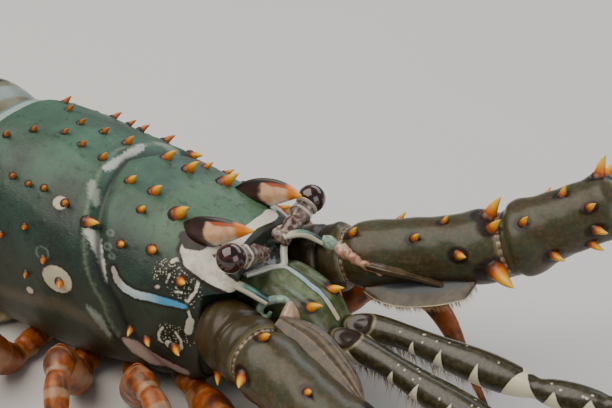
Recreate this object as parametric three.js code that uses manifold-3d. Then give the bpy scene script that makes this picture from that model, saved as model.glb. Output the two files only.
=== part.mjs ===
// An ornate spiny lobster at life size, lying on its breast plate with its legs spread and its feelers out.
// Millimetres: +X towards the head, +Y to the animal's left, +Z up from the floor that it rests on.

import * as THREE from "three";
import { mergeVertices } from "three/addons/utils/BufferGeometryUtils.js";
import Module from "manifold-3d";

const wasm = await Module();
wasm.setup();

// Driving dimensions of the whole animal
const GAP = 0.3; // what parts a piece from its neighbour
const SEED = 7; // of the small variation in the spines
const UNDERSIDE = 11; // height of the head shield's lower edge
const FACE = 48; // the upright front face that carries the feelers
const BROW = 52; // underside of the brow that overhangs the face
const EYE = { x: 58.6, y: 25.2, z: 68.6, radius: 5.4 };

// Outlines of the head shield, as [distance along the body, size]
const ROOF = profile([[-71, 81], [-60, 83], [-40, 82.5], [-17, 79], [0, 76], [15, 74], [30, 71.6], [45, 68],
  [58, 63.5]]);
const HALF_WIDTH = profile([[-71, 36], [-55, 40], [-30, 42], [0, 41.5], [20, 38.5], [40, 34], [58, 27.5]]);
const SHOULDER = profile([[-71, 41.6], [-30, 39.6], [20, 39.6], [58, 41.6]]);
const KEEL = profile([[-71, 8], [-50, 4], [30, 4], [58, 8]]);

// Lines that cross the head shield, as [degrees down from the crest, distance along the body]
const REAR_EDGE = profile([[0, -69], [40, -71], [80, -73], [130, -70], [180, -68]]);
const NECK_GROOVE = profile([[0, -9], [48, 2], [80, 11], [98, 20], [130, 34], [180, 40]]);
const FRONT_EDGE = profile([[0, 54], [30, 55], [52, 58], [75, 52], [100, 47.5], [180, 46]]);
const GROOVE = { depth: 2, width: 3.2 };
const REAR_BAND = { at: 4.5, depth: 1.1, width: 1.6 };

// A smooth curve through [position, value] pairs, as a function of position
function profile(pairs) {
  const curve = new THREE.CubicInterpolant(pairs.map((pair) => pair[0]), pairs.map((pair) => pair[1]), 1);
  return (position) => curve.evaluate(position)[0];
}

function point(x, y, z) {
  return new THREE.Vector3(x, y, z);
}

function between(a, b, t) {
  return a + (b - a) * t;
}

// Seeded numbers from 0 to 1
let state = SEED;
function random() {
  state = (state * 16807) % 2147483647;
  return state / 2147483647;
}

// Solids: a closed geometry becomes a body, with its triangles turned outwards
function solid(geometry) {
  geometry.deleteAttribute("normal");
  geometry.deleteAttribute("uv");
  const merged = mergeVertices(geometry, 1e-4);
  const vertices = merged.attributes.position;
  const triangles = Uint32Array.from(merged.index.array);
  const [a, b, c] = [point(), point(), point()];
  let volume = 0;
  for (let i = 0; i < triangles.length; i += 3) {
    a.fromBufferAttribute(vertices, triangles[i]);
    b.fromBufferAttribute(vertices, triangles[i + 1]);
    c.fromBufferAttribute(vertices, triangles[i + 2]);
    volume += a.dot(b.cross(c));
  }
  if (volume < 0) triangles.reverse();
  const places = Float32Array.from(vertices.array);
  return new wasm.Manifold(new wasm.Mesh({ numProp: 3, vertProperties: places, triVerts: triangles }));
}

// Joins bodies into one and keeps its largest closed surface
function fuse(...bodies) {
  const whole = wasm.Manifold.union(bodies.flat());
  return whole.decompose().sort((a, b) => b.volume() - a.volume())[0];
}

// A block between two corners, for trimming
function block(low, high) {
  const size = high.clone().sub(low);
  const middle = low.clone().add(high).multiplyScalar(0.5);
  return solid(new THREE.BoxGeometry(size.x, size.y, size.z).translate(middle.x, middle.y, middle.z));
}

function ball(centre, sizes, columns = 14, rows = 10) {
  const geometry = new THREE.SphereGeometry(1, columns, rows);
  return solid(geometry.scale(sizes.x, sizes.y, sizes.z).translate(centre.x, centre.y, centre.z));
}

// A closed skin over a row of rings: place(ring, angle) gives its points, and each end closes on its middle
function skin(rings, sides, place) {
  const turns = Array.from({ length: sides }, (_, side) => (side / sides) * 2 * Math.PI);
  const loops = rings.map((ring) => turns.map((angle) => place(ring, angle)));
  const ends = [loops[0], loops[loops.length - 1]].map((loop) => {
    const middle = point(0, 0, 0);
    loop.forEach((corner) => middle.addScaledVector(corner, 1 / loop.length));
    return middle;
  });
  const geometry = new THREE.SphereGeometry(1, sides, rings.length + 1);
  for (let row = 0; row <= rings.length + 1; row += 1) {
    for (let side = 0; side <= sides; side += 1) {
      let corner = row === 0 ? ends[0] : ends[1];
      if (row > 0 && row <= rings.length) corner = loops[row - 1][side % sides];
      geometry.attributes.position.setXYZ(row * (sides + 1) + side, corner.x, corner.y, corner.z);
    }
  }
  return solid(geometry);
}

// Cuts a body back to the side of a plane that its normal points to, half a gap from the plane
function trim(body, at, normal) {
  return body.trimByPlane(normal.toArray(), normal.dot(at) + GAP / 2);
}

// A tapering body along a curve, with sizes as [part of the way, half width, half height]. An end with a cut
// is flat, half a gap back from the plane of the cut, so its ring is slid past that plane first.
function sweep(curve, sizes, { sides = 8, startCut, endCut, up = point(0, 0, 1) } = {}) {
  const cuts = [[startCut, 0, -1], [endCut, sizes.length - 1, 1]].filter(([cut]) => cut);
  const whole = skin(sizes.map((_, ring) => ring), sides, (ring, angle) => {
    const [part, halfWidth, halfHeight] = sizes[ring];
    const along = curve.getTangent(part);
    const across = point().crossVectors(along, up).normalize();
    const over = point().crossVectors(across, along);
    const middle = curve.getPoint(part);
    const corner = middle.clone().addScaledVector(across, halfWidth * Math.cos(angle))
      .addScaledVector(over, halfHeight * Math.sin(angle));
    cuts.filter(([, end]) => end === ring).forEach(([cut, , way]) => {
      corner.addScaledVector(along, middle.clone().sub(corner).dot(cut) / along.dot(cut) + way);
    });
    return corner;
  });
  return cuts.reduce((body, [cut, end, way]) => {
    return trim(body, curve.getPoint(sizes[end][0]), cut.clone().multiplyScalar(-way));
  }, whole);
}

// The point and the outward direction on a swept body's side, for what grows there
function sideOf(curve, sizes, part, degrees, up = point(0, 0, 1)) {
  const widthAt = profile(sizes.map((row) => [row[0], row[1]]));
  const heightAt = profile(sizes.map((row) => [row[0], row[2]]));
  const along = curve.getTangent(part);
  const across = point().crossVectors(along, up).normalize();
  const over = point().crossVectors(across, along);
  const angle = THREE.MathUtils.degToRad(degrees);
  const out = across.clone().multiplyScalar(Math.cos(angle)).addScaledVector(over, Math.sin(angle));
  const root = curve.getPoint(part);
  root.addScaledVector(across, widthAt(part) * Math.cos(angle));
  root.addScaledVector(over, heightAt(part) * Math.sin(angle));
  return { root, out, along };
}

// A spine: a cone on its root, sunk into what it grows from, leaning along lean
function spine({ root, out, along }, length, radius, lean = 0.7) {
  const sunk = length * 0.4;
  const direction = out.clone().addScaledVector(along, lean).normalize();
  const cone = new THREE.ConeGeometry(radius * (1 + sunk / length), length + sunk, 6);
  cone.translate(0, (length - sunk) / 2, 0);
  cone.applyQuaternion(new THREE.Quaternion().setFromUnitVectors(point(0, 1, 0), direction));
  return solid(cone.translate(root.x, root.y, root.z));
}

function line(from, to) {
  return new THREE.LineCurve3(from, to);
}

// The plane where two lengths meet, square to the middle of their bend
function bend(before, joint, after) {
  const into = joint.clone().sub(before).normalize();
  const onwards = after.clone().sub(joint).normalize();
  return into.add(onwards).normalize();
}

// The model: one named mesh for each sub-part
const lobster = new THREE.Group();
const looks = {
  shell: { color: "#3f5a4c", roughness: 0.35 },
  belly: { color: "#a9a08c", roughness: 0.5 },
  horn: { color: "#d9a77f", roughness: 0.4 },
  eye: { color: "#2c0f0a", roughness: 0.1 },
  stalk: { color: "#8d9199", roughness: 0.35 },
  feeler: { color: "#6a6548", roughness: 0.35 },
  whip: { color: "#4a1713", roughness: 0.5 },
  feelerette: { color: "#44432a", roughness: 0.4 },
  leg: { color: "#a1582c", roughness: 0.4 },
  tail: { color: "#4f6a55", roughness: 0.35 },
  fan: { color: "#b9713a", roughness: 0.45 },
};

function add(name, body, look) {
  const { vertProperties, triVerts } = body.getMesh();
  const geometry = new THREE.BufferGeometry();
  geometry.setAttribute("position", new THREE.BufferAttribute(vertProperties, 3));
  geometry.setIndex(new THREE.BufferAttribute(triVerts, 1));
  geometry.computeVertexNormals();
  const mesh = new THREE.Mesh(geometry, new THREE.MeshStandardMaterial({ metalness: 0, ...looks[look] }));
  mesh.name = name;
  lobster.add(mesh);
}

const SIDES = [["r", -1], ["l", 1]];

// The tail's line and its outlines, as [part of the line, size]
const TAIL_LINE = new THREE.QuadraticBezierCurve3(point(-66, 0, 46), point(-155, 0, 46), point(-212, 0, 14));
const TAIL_HALF = profile([[0, 32], [0.2, 35.5], [0.5, 34.5], [0.8, 29], [1, 24]]);
const TAIL_RISE = profile([[0, 33], [0.05, 37], [0.12, 39.5], [0.3, 37], [0.5, 31], [0.8, 20], [1, 12]]);
const TAIL_DROP = profile([[0, 14], [0.3, 15], [0.7, 12], [1, 8]]);

function tailPoint(part, angle, scale) {
  const [sine, cosine] = [Math.sin(angle), Math.cos(angle)];
  const along = TAIL_LINE.getTangent(THREE.MathUtils.clamp(part, 0.001, 0.999)); // the ends' own beyond them
  const over = point(along.z, 0, -along.x);
  const high = sine > 0 ? TAIL_RISE(part) * sine ** 0.9 : -TAIL_DROP(part) * Math.abs(sine) ** 0.6;
  const wide = TAIL_HALF(part) * Math.sign(cosine) * Math.abs(cosine) ** (sine > 0 ? 0.9 : 0.7);
  return TAIL_LINE.getPoint(part).add(point(0, wide * scale, 0)).addScaledVector(over, high * scale);
}

// The room for the first ring's front under the head shield's rear edge
function tailPocket() {
  return skin([-0.002, 0.04, 0.1], 18, (part, angle) => tailPoint(part, angle, 0.975));
}

// Head shield: a rounded box in section, crossed by the neck groove and a groove along its rear edge
function shieldPoint(x, degrees, grow = 0) {
  const down = Math.abs(degrees);
  const angle = THREE.MathUtils.degToRad(down);
  const [sine, cosine] = [Math.sin(angle), Math.cos(angle)];
  const fromGroove = x - NECK_GROOVE(down);
  const fromBand = x - REAR_EDGE(down) - REAR_BAND.at;
  const out = grow - GROOVE.depth * Math.exp(-((fromGroove / GROOVE.width) ** 2))
    - REAR_BAND.depth * Math.exp(-((fromBand / REAR_BAND.width) ** 2));
  const [roof, shoulder, half] = [ROOF(x) + out, SHOULDER(x), HALF_WIDTH(x) + out];
  const upper = cosine >= 0;
  const y = half * sine ** (upper ? 0.9 : 0.55);
  const z = upper
    ? between(shoulder, roof, cosine ** 0.9)
    : between(shoulder, KEEL(x), Math.abs(cosine) ** 0.6);
  return point(x, Math.sign(degrees) * y, z);
}

// Where a thing grows on the head shield: its point, outward direction and the way forward
function onShield(x, degrees) {
  const root = shieldPoint(x, degrees);
  const forward = shieldPoint(x + 1, degrees).sub(root).normalize();
  const down = shieldPoint(x, degrees + (degrees < 0 ? -1 : 1)).sub(root).normalize();
  const out = point().crossVectors(forward, down).normalize();
  if (out.dot(point(0, root.y, root.z - SHOULDER(x))) < 0) out.negate();
  return { root, out, along: forward };
}

// Rings from the rear edge (0) by the neck groove (0.5) to the front edge (1), closest at the grooves
const SHIELD_RINGS = [0, 0.018, 0.036, 0.055, 0.13, 0.22, 0.31, 0.4, 0.45, 0.475, 0.5, 0.525, 0.56, 0.64,
  0.73, 0.82, 0.91, 1];
const SHIELD_SIDES = 36;

function shield(grow = 0) {
  return skin(SHIELD_RINGS, SHIELD_SIDES, (ring, angle) => {
    let degrees = THREE.MathUtils.radToDeg(angle);
    if (degrees > 180) degrees -= 360;
    const from = Math.abs(degrees);
    const x = ring < 0.5
      ? between(REAR_EDGE(from), NECK_GROOVE(from), ring * 2)
      : between(NECK_GROOVE(from), FRONT_EDGE(from), ring * 2 - 1);
    return shieldPoint(x, degrees, grow).add(point((ring * 2 - 1) * grow, 0, 0));
  });
}

// Spines of one flank, as [distance along the body, degrees down from the crest, length]
const SHIELD_SPINES = [
  [27, 20, 8], [13, 13, 6], [2, 13, 5.5], [-14, 8, 5], [-25, 7, 4], [-35, 5, 4], [-46, 12, 4], [-54, 22, 4],
  [14, 27, 4], [-25, 40, 4], [-32, 42, 4], [-40, 42, 4], [-14, 42, 5], [-2, 46, 6],
  [-27, 64, 4], [-16, 76, 4.5], [-25, 88, 4], [-8, 85, 5], [14, 51, 4.5], [26, 48, 5], [40, 62, 5.5],
  [28, 98, 4.5], [21, 95, 4], [39, 100, 6], [-46, 60, 4], [-52, 78, 4], [-38, 74, 4],
];
const SPINE_SLIMNESS = 0.42; // radius of a spine's root to its length

const spines = SIDES.flatMap(([, side]) => SHIELD_SPINES.map(([x, degrees, length]) => {
  const grown = length * between(0.9, 1.1, random());
  return spine(onShield(x, side * degrees), grown, grown * SPINE_SLIMNESS);
}));
const epistome = ball(point(FACE, 0, 23), point(13, 13, 9), 12, 8);
const orbits = SIDES.map(([, side]) => ball(point(EYE.x, side * EYE.y, EYE.z), point(8.4, 8.4, 8.4), 14, 10));
const underShield = block(point(-100, -60, -20), point(100, 60, UNDERSIDE));
const beforeFace = (gap) => block(point(FACE + gap, -60, -20), point(100, 60, BROW - gap));
const headRoom = shield(GAP * 1.4).subtract(beforeFace(GAP * 0.9));
const shieldBody = fuse(shield().subtract(underShield).subtract(beforeFace(0)), epistome, spines);
add("carapace", fuse(shieldBody.subtract(wasm.Manifold.union([...orbits, tailPocket()]))), "shell");

// Horns over the eyes: blades that lie along the brow and rise to a forward tip
const HORN_SIZES = [[0, 3, 5], [0.2, 3.4, 6], [0.45, 3.2, 5.4], [0.7, 2.4, 3.8], [0.9, 1.2, 1.7],
  [1, 0.3, 0.4]];
SIDES.forEach(([letter, side]) => {
  const path = new THREE.QuadraticBezierCurve3(
    point(33, side * 16, 65), point(48, side * 18.5, 74), point(61.1, side * 14.9, 75.4));
  const horn = sweep(path, HORN_SIZES, { sides: 10 });
  add(`horn_${letter}`, fuse(horn.subtract(shield(GAP * 1.4)).subtract(wasm.Manifold.union(orbits))), "horn");
});

// Eyes on short stalks that come from under the brow
const STALK_ROOT = { x: 58.4, y: 7, z: 61, wall: 54.5 }; // and how far forward the brow is there
const EYE_FLAT = 0.76; // how far out the eye is cut flat for its stalk, of its radius
const STALK_SIZES = [[0, 2.6, 2.6], [0.35, 2.8, 2.8], [0.75, 4.2, 4.2], [1, 3.3, 3.3]];
const STALK_FOOT = [[0, 2.4, 2.4], [0.6, 2.6, 2.6], [1, 2.2, 2.2]];
SIDES.forEach(([letter, side]) => {
  const centre = point(EYE.x, side * EYE.y, EYE.z);
  const root = point(STALK_ROOT.x, side * STALK_ROOT.y, STALK_ROOT.z);
  const inwards = root.clone().sub(centre).normalize();
  const flat = centre.clone().addScaledVector(inwards, EYE.radius * EYE_FLAT);
  const stalk = sweep(line(root, flat), STALK_SIZES, { sides: 10, endCut: inwards.clone().negate() });
  const foot = sweep(line(point(STALK_ROOT.wall, root.y, root.z), root), STALK_FOOT);
  add(`eyestalk_${letter}`, fuse(stalk, foot), "stalk");
  const eye = new THREE.SphereGeometry(EYE.radius, 14, 9);
  const half = new THREE.BoxGeometry(20, 20, 20).translate(0, 0, 10 + EYE.radius * EYE_FLAT - GAP / 2);
  const turn = new THREE.Quaternion().setFromUnitVectors(point(0, 0, 1), inwards);
  const turned = (geometry) => solid(geometry.applyQuaternion(turn).translate(centre.x, centre.y, centre.z));
  add(`eye_${letter}`, turned(eye).subtract(turned(half)), "eye");
});

// Antennular plate: the wedge between the feelers, with a pair of strong spines
const PLATE_REAR = 48.3;
const PLATE_FRONT = 87.4;
const PLATE_RINGS = [53, 58, 64, 71, 78, 83.5];
const PLATE_TOP = profile([[PLATE_REAR, 50], [56, 51.4], [64, 52.4], [74, 50], [82, 46], [PLATE_FRONT, 39]]);
const PLATE_FOOT = profile([[PLATE_REAR, 35], [64, 34.5], [80, 33], [PLATE_FRONT, 31.5]]);
const PLATE_HALF = profile([[PLATE_REAR, 11], [60, 13.5], [74, 12.5], [82, 10.8], [PLATE_FRONT, 8.2]]);
// Spines of one side, as [place, length, root radius, lean]
const PLATE_SPINES = [[[79, 7, 45.5], 9, 3.2, 1.6], [[66, 9.5, 49.5], 4, 1.5, 0.8]];

// Squares off a circle's sine or cosine: the lower the power, the squarer
function squared(value, power) {
  return Math.sign(value) * Math.abs(value) ** power;
}

function platePoint(x, angle, grow = 0) {
  const height = between(PLATE_FOOT(x) - grow, PLATE_TOP(x) + grow, 0.5 + squared(Math.sin(angle), 0.7) / 2);
  return point(x, (PLATE_HALF(x) + grow) * squared(Math.cos(angle), 0.7), height);
}

const plate = skin([PLATE_REAR, ...PLATE_RINGS, PLATE_FRONT], 14, (x, angle) => platePoint(x, angle));
const plateSpines = SIDES.flatMap(([, side]) => PLATE_SPINES.map(([[x, y, z], length, radius, lean]) => {
  const place = { root: point(x, side * y, z), out: point(0, 0, 1), along: point(1, 0, 0) };
  return spine(place, length, radius, lean);
}));
add("antennular_plate", fuse(plate, plateSpines), "shell");

// The plate grown by a gap and run on at both ends: the room that it takes out of the feelers' bases
const plateRoom = skin([PLATE_REAR - 8, ...PLATE_RINGS, PLATE_FRONT + 1], 14, (x, angle) => {
  const corner = platePoint(THREE.MathUtils.clamp(x, PLATE_REAR, PLATE_FRONT), angle, GAP * 1.3);
  return corner.setX(x);
});

// Feelers: three thick lengths each, with spines, a rasping pad and a fringe plate, and then a long whip
const BASE_SIZES = [[0, 8.5, 9], [0.2, 11.5, 11.8], [0.45, 13, 12.8], [0.75, 12.8, 12.8], [0.92, 12.6, 12.6],
  [1, 10.6, 10.6]];
const MIDDLE_SIZES = [[0, 10.2, 10.2], [0.05, 11.8, 11.8], [0.3, 12.4, 12.4], [0.65, 12.6, 12.4],
  [0.92, 13.4, 13], [1, 11.4, 11.2]];
const OUTER_SIZES = [[0, 11, 10.8], [0.07, 13.2, 12.8], [0.4, 12.6, 12.2], [0.75, 12, 11.6], [0.93, 11.4, 11],
  [1, 8, 8]];
// Spines on a length, as [part of its way, degrees from its outer side over the top, length]
const BASE_SPINES = [[0.6, -45, 5], [0.85, 215, 6]];
const PAD = { at: 0.85, degrees: 145, sizes: point(6, 4.5, 5) };
// The fringe plate along the middle length's inner foot, as [part of its way, how far it stands out]
const FRINGE = [[0.12, 5], [0.4, 9], [0.7, 9], [0.86, 3]];
const FRINGE_SHEET = { degrees: 220, sunk: 4, half: 0.7 };
const WHIP_SPLIT = 0.4; // part of the whip's length in its thick first half
const whipRadius = profile([[0, 6.4], [0.03, 5.6], [0.1, 3.8], [0.3, 2.6], [0.6, 1.7], [1, 0.5]]);
const FEELERS = {
  r: {
    joints: [point(FACE + GAP / 2, -24, 37), point(74, -32, 37), point(129, -48.5, 29),
      point(170, -66, 36)],
    whip: [point(215, -95, 50), point(240, -150, 64), point(215, -212, 72), point(140, -252, 70),
      point(40, -268, 62), point(-70, -258, 50)],
    middleSpines: [[0.07, 84, 6], [0.14, 12, 7], [0.57, 66, 5], [0.6, -20, 4], [0.96, 60, 10],
      [0.96, 130, 11], [0.97, 10, 8], [0.97, -60, 8]],
    outerSpines: [[0.3, 80, 5], [0.55, 130, 5], [0.6, 30, 4], [0.9, 60, 7], [0.92, 140, 7]],
  },
  l: {
    joints: [point(FACE + GAP / 2, 24, 39), point(74, 29, 47), point(130, 45, 63), point(165, 62, 85)],
    whip: [point(205, 92, 106), point(238, 150, 118), point(218, 212, 118), point(145, 255, 104),
      point(45, 272, 84), point(-65, 262, 62)],
    middleSpines: [[0.08, 111, 5], [0.3, 40, 5], [0.49, 129, 5], [0.66, 99, 4], [0.77, 162, 6],
      [0.94, 90, 9], [0.97, 120, 7], [0.97, 198, 12], [0.97, 20, 8], [0.97, -50, 8]],
    outerSpines: [[0.26, 129, 5], [0.37, 201, 6], [0.4, 30, 5], [0.61, 102, 5], [0.67, 213, 6],
      [0.77, 186, 6], [0.79, 144, 5], [0.9, 20, 8], [0.92, 80, 8]],
  },
};

// Degrees around a length, counted the other way on the two sides of the animal
const around = (degrees, side) => (side < 0 ? degrees : 180 - degrees);

function fringePlate(path, side) {
  const rows = FRINGE.map(([part, reach]) => {
    const { root, out, along } = sideOf(path, MIDDLE_SIZES, part, around(FRINGE_SHEET.degrees, side));
    const thick = point().crossVectors(along, out).normalize().multiplyScalar(FRINGE_SHEET.half);
    const rim = root.clone().addScaledVector(out, reach);
    return { rim, foot: root.addScaledVector(out, -FRINGE_SHEET.sunk), thick };
  });
  return skin(rows, 4, ({ rim, foot, thick }, angle) => {
    const corner = Math.round(angle / (Math.PI / 2));
    return (corner % 3 === 0 ? rim : foot).clone().addScaledVector(thick, corner < 2 ? 1 : -1);
  });
}

SIDES.forEach(([letter, side]) => {
  const { joints, whip, middleSpines, outerSpines } = FEELERS[letter];
  const whipLine = new THREE.CatmullRomCurve3([joints[3], ...whip]);
  const cuts = [point(1, 0, 0), bend(...joints.slice(0, 3)), bend(...joints.slice(1)),
    whipLine.getTangent(0).add(joints[3].clone().sub(joints[2]).normalize()).normalize()];
  const paths = [0, 1, 2].map((index) => line(joints[index], joints[index + 1]));
  const length = (index, sizes) => sweep(paths[index], sizes,
    { sides: 14, startCut: cuts[index], endCut: cuts[index + 1] });
  const grow = (index, sizes, rows, room = 0) => rows.map(([part, degrees, reach]) => {
    const place = sideOf(paths[index], sizes, part, around(degrees, side));
    return spine(place, reach + room * 3, reach * SPINE_SLIMNESS + room * 1.3);
  });

  const padPlace = sideOf(paths[0], BASE_SIZES, PAD.at, around(PAD.degrees, side));
  const padded = trim(fuse(length(0, BASE_SIZES), ball(padPlace.root, PAD.sizes, 10, 8)), joints[1],
    cuts[1].clone().negate());
  const base = fuse(padded, grow(0, BASE_SIZES, BASE_SPINES));
  add(`antenna_base_${letter}`, base.subtract(plateRoom).subtract(headRoom), "feeler");

  add(`antenna_middle_${letter}`, fuse(length(1, MIDDLE_SIZES), fringePlate(paths[1], side),
    grow(1, MIDDLE_SIZES, middleSpines)), "feeler");
  const endSpines = middleSpines.filter(([part]) => part > 0.9);
  const spineRoom = wasm.Manifold.union(grow(1, MIDDLE_SIZES, endSpines, GAP));
  const outer = fuse(length(2, OUTER_SIZES), grow(2, OUTER_SIZES, outerSpines));
  add(`antenna_outer_${letter}`, fuse(outer.subtract(spineRoom)), "feeler");

  const whipPart = (from, to, steps, startCut, endCut) => {
    const sizes = Array.from({ length: steps + 1 }, (_, step) => {
      const part = between(from, to, step / steps);
      return [part, whipRadius(part), whipRadius(part)];
    });
    return sweep(whipLine, sizes, { sides: 6, startCut, endCut });
  };
  const split = whipLine.getTangent(WHIP_SPLIT);
  add(`antenna_whip_near_${letter}`, whipPart(0, WHIP_SPLIT, 14, cuts[3], split), "whip");
  add(`antenna_whip_far_${letter}`, whipPart(WHIP_SPLIT, 1, 16, split), "whip");
});

// Small feelers: a long jointed stem each, and two whips
const STEM_SIZES = [[0, 3.8, 3.6], [0.06, 5, 4.8], [0.3, 4.8, 4.6], [0.7, 4.9, 4.7], [0.74, 3.8, 3.6],
  [0.77, 4.8, 4.6], [0.88, 4.4, 4.2], [0.9, 3.6, 3.4], [0.92, 4.3, 4.1], [0.98, 4.1, 3.9], [1, 3.5, 3.3]];
const STEMS = {
  r: {
    path: [point(PLATE_FRONT + GAP / 2, -4.6, 35), point(109, -9, 37), point(136, -12, 33),
      point(166, -15, 31), point(204, -20, 36)],
    outer: [point(236, -34, 58), point(262, -56, 84), point(276, -82, 112)],
    inner: [point(240, -18, 50), point(276, -22, 66), point(310, -32, 84)],
  },
  l: {
    path: [point(PLATE_FRONT + GAP / 2, 4.6, 35), point(107, 5.6, 38), point(136, 5, 38),
      point(166, 5, 38), point(206, 8, 42)],
    outer: [point(240, 20, 64), point(268, 40, 90), point(284, 66, 118)],
    inner: [point(244, 4, 54), point(282, 2, 70), point(318, 6, 88)],
  },
};
const lashRadius = profile([[0, 1.7], [0.3, 1.3], [1, 0.5]]);
const LASH_APART = 1.85; // half the distance between a stem's two whips
const LASH_STEPS = 12;
SIDES.forEach(([letter, side]) => {
  const { path, outer, inner } = STEMS[letter];
  const stemLine = new THREE.CatmullRomCurve3(path);
  const tip = path[path.length - 1];
  const end = stemLine.getTangent(1);
  const stem = sweep(stemLine, STEM_SIZES, { sides: 10, startCut: point(1, 0, 0), endCut: end });
  add(`antennule_stem_${letter}`, stem, "feelerette");
  [["outer", outer, side], ["inner", inner, -side]].forEach(([name, points, way]) => {
    const start = tip.clone().addScaledVector(point(-end.y, end.x, 0).normalize(), way * LASH_APART);
    const lash = new THREE.CatmullRomCurve3([start, start.clone().addScaledVector(end, 8), ...points]);
    const sizes = Array.from({ length: LASH_STEPS + 1 }, (_, step) => {
      const part = step / LASH_STEPS;
      return [part, lashRadius(part), lashRadius(part)];
    });
    add(`antennule_${name}_${letter}`, sweep(lash, sizes, { sides: 6, startCut: end }), "feelerette");
  });
});

// Breast plate: flat underneath, where the animal rests, with the leg sockets along its sides
const BREAST_HALF = profile([[-66, 19], [-55, 24], [-30, 24], [0, 20], [25, 15], [44, 11]]);
const BREAST = { foot: -1.6, top: UNDERSIDE - GAP };
const LEG_ROOTS = [24, 6, -13, -33, -54];
const LEG_HEIGHT = 5.5;
const SOCKET = 7; // how far a leg socket stands out of the breast plate
const SOCKET_INSIDE = 8;
const SOCKET_SIZES = [[0, 4.8, 4.8], [1, 4.8, 4.8]];

// Legs, front to rear: degrees that the hip is swung forward of square and that each later joint adds to it,
// then distance out and height of the knee and the wrist, and the distance out of the foot. Those of the left
// side are drawn in.
const LEGS = {
  r: [
    { swing: 57, curl: 2, knee: [54, 14], wrist: [74, 12], foot: 96 },
    { swing: 42, curl: 5, knee: [52, 30], wrist: [70, 28], foot: 94 },
    { swing: 30, curl: 2, knee: [52, 33], wrist: [70, 30], foot: 94 },
    { swing: 8, curl: -2, knee: [52, 38], wrist: [70, 34], foot: 94 },
    { swing: -30, curl: -4, knee: [48, 34], wrist: [64, 30], foot: 86 },
  ],
  l: [
    { swing: 56, curl: 13, knee: [60, 24], wrist: [82, 28], foot: 111 },
    { swing: 4, curl: 2, knee: [44, 25], wrist: [60, 19], foot: 80 },
    { swing: -14, curl: -1, knee: [44, 26], wrist: [60, 20], foot: 80 },
    { swing: -32, curl: -3, knee: [44, 28], wrist: [60, 22], foot: 80 },
    { swing: -52, curl: -4, knee: [46, 30], wrist: [62, 24], foot: 82 },
  ],
};
const HIP = 28; // how far out the hip clears the shield's edge
const HIP_RISE = 1.2; // what keeps the bend at the hip off the floor
const LEG_SIDES = 7;
const UPPER_SIZES = [[0, 4.2, 4.2], [0.1, 5, 4.9], [0.26, 4.9, 4.9], [0.33, 4, 4.2], [0.42, 5, 5.2],
  [0.92, 5.3, 5.5], [1, 4, 4.2]];
const LOWER_SIZES = [[0, 3.8, 4], [0.06, 4.9, 5], [0.2, 4.9, 4.9], [0.27, 3.6, 3.6], [0.34, 4.2, 4.2],
  [0.7, 3.2, 3.3], [0.76, 2.5, 2.6], [1, 0.9, 0.9]];

function legJoints({ swing, curl, knee, wrist, foot }, index, side) {
  const root = point(LEG_ROOTS[index], side * BREAST_HALF(LEG_ROOTS[index]), LEG_HEIGHT);
  const heading = (turns) => {
    const angle = THREE.MathUtils.degToRad(swing + curl * turns);
    return point(Math.sin(angle), side * Math.cos(angle), 0);
  };
  const at = (turns, distance, height) => root.clone().addScaledVector(heading(turns), distance).setZ(height);
  return { root, out: heading(0), socket: at(0, SOCKET, LEG_HEIGHT), hip: at(0, HIP, LEG_HEIGHT + HIP_RISE),
    knee: at(0, ...knee), wrist: at(1, ...wrist), foot: at(2, foot, 0) };
}

const sockets = [];
SIDES.forEach(([letter, side]) => LEGS[letter].forEach((leg, index) => {
  const { root, out, socket, hip, knee, wrist, foot } = legJoints(leg, index, side);
  sockets.push(sweep(line(root.clone().addScaledVector(out, -SOCKET_INSIDE), socket), SOCKET_SIZES,
    { endCut: out }));
  const upperLine = new THREE.CatmullRomCurve3([socket, hip, knee]);
  const lowerLine = new THREE.CatmullRomCurve3([knee, wrist, foot]);
  const kneeCut = upperLine.getTangent(1).add(lowerLine.getTangent(0)).normalize();
  add(`leg${index + 1}_upper_${letter}`, sweep(upperLine, UPPER_SIZES,
    { sides: LEG_SIDES, startCut: out, endCut: kneeCut }), "leg");
  const lower = sweep(lowerLine, LOWER_SIZES, { sides: LEG_SIDES, startCut: kneeCut, up: out });
  const floor = block(point(-200, -200, -20), point(300, 200, 0));
  add(`leg${index + 1}_lower_${letter}`, fuse(lower.subtract(floor)), "leg");
}));

const breast = skin([-66, -60, -45, -25, 0, 25, 44], 12, (x, angle) => {
  const height = between(BREAST.foot, BREAST.top, 0.5 + squared(Math.sin(angle), 0.5) / 2);
  return point(x, BREAST_HALF(x) * squared(Math.cos(angle), 0.6), height);
});
const belowFloor = block(point(-100, -60, -20), point(100, 60, 0));
const aboveBreast = block(point(-100, -60, BREAST.top), point(100, 60, 40));
add("breast_plate", fuse(fuse(breast, sockets).subtract(belowFloor).subtract(aboveBreast)), "belly");

// Jaw feet: the curled mouth limbs in front of the breast plate
const JAW_FOOT_SIZES = [[0, 3.2, 3.6], [0.1, 4, 4.4], [0.35, 4, 4.4], [0.42, 3.2, 3.6], [0.5, 3.6, 4],
  [0.75, 3, 3.2], [1, 1, 1.2]];
SIDES.forEach(([letter, side]) => {
  const path = new THREE.CatmullRomCurve3([point(44 + GAP, side * 6, 5.4), point(58, side * 8, 6.4),
    point(72, side * 7, 10), point(78, side * 5.5, 17)]);
  add(`maxilliped_${letter}`, sweep(path, JAW_FOOT_SIZES, { startCut: point(1, 0, 0) }), "leg");
});

// Tail: six overlapping rings with pointed side plates and paddles, then the fan
const TAIL_JOINTS = [0, 0.16, 0.32, 0.485, 0.645, 0.805, 1];
// Sections of a ring, as [part of its length, size of the section]: its front hides under the ring before
const RING_STEPS = [[-0.04, 0.92], [0.3, 0.95], [0.42, 0.985], [0.9, 1.01], [1.04, 0.985]];
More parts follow.
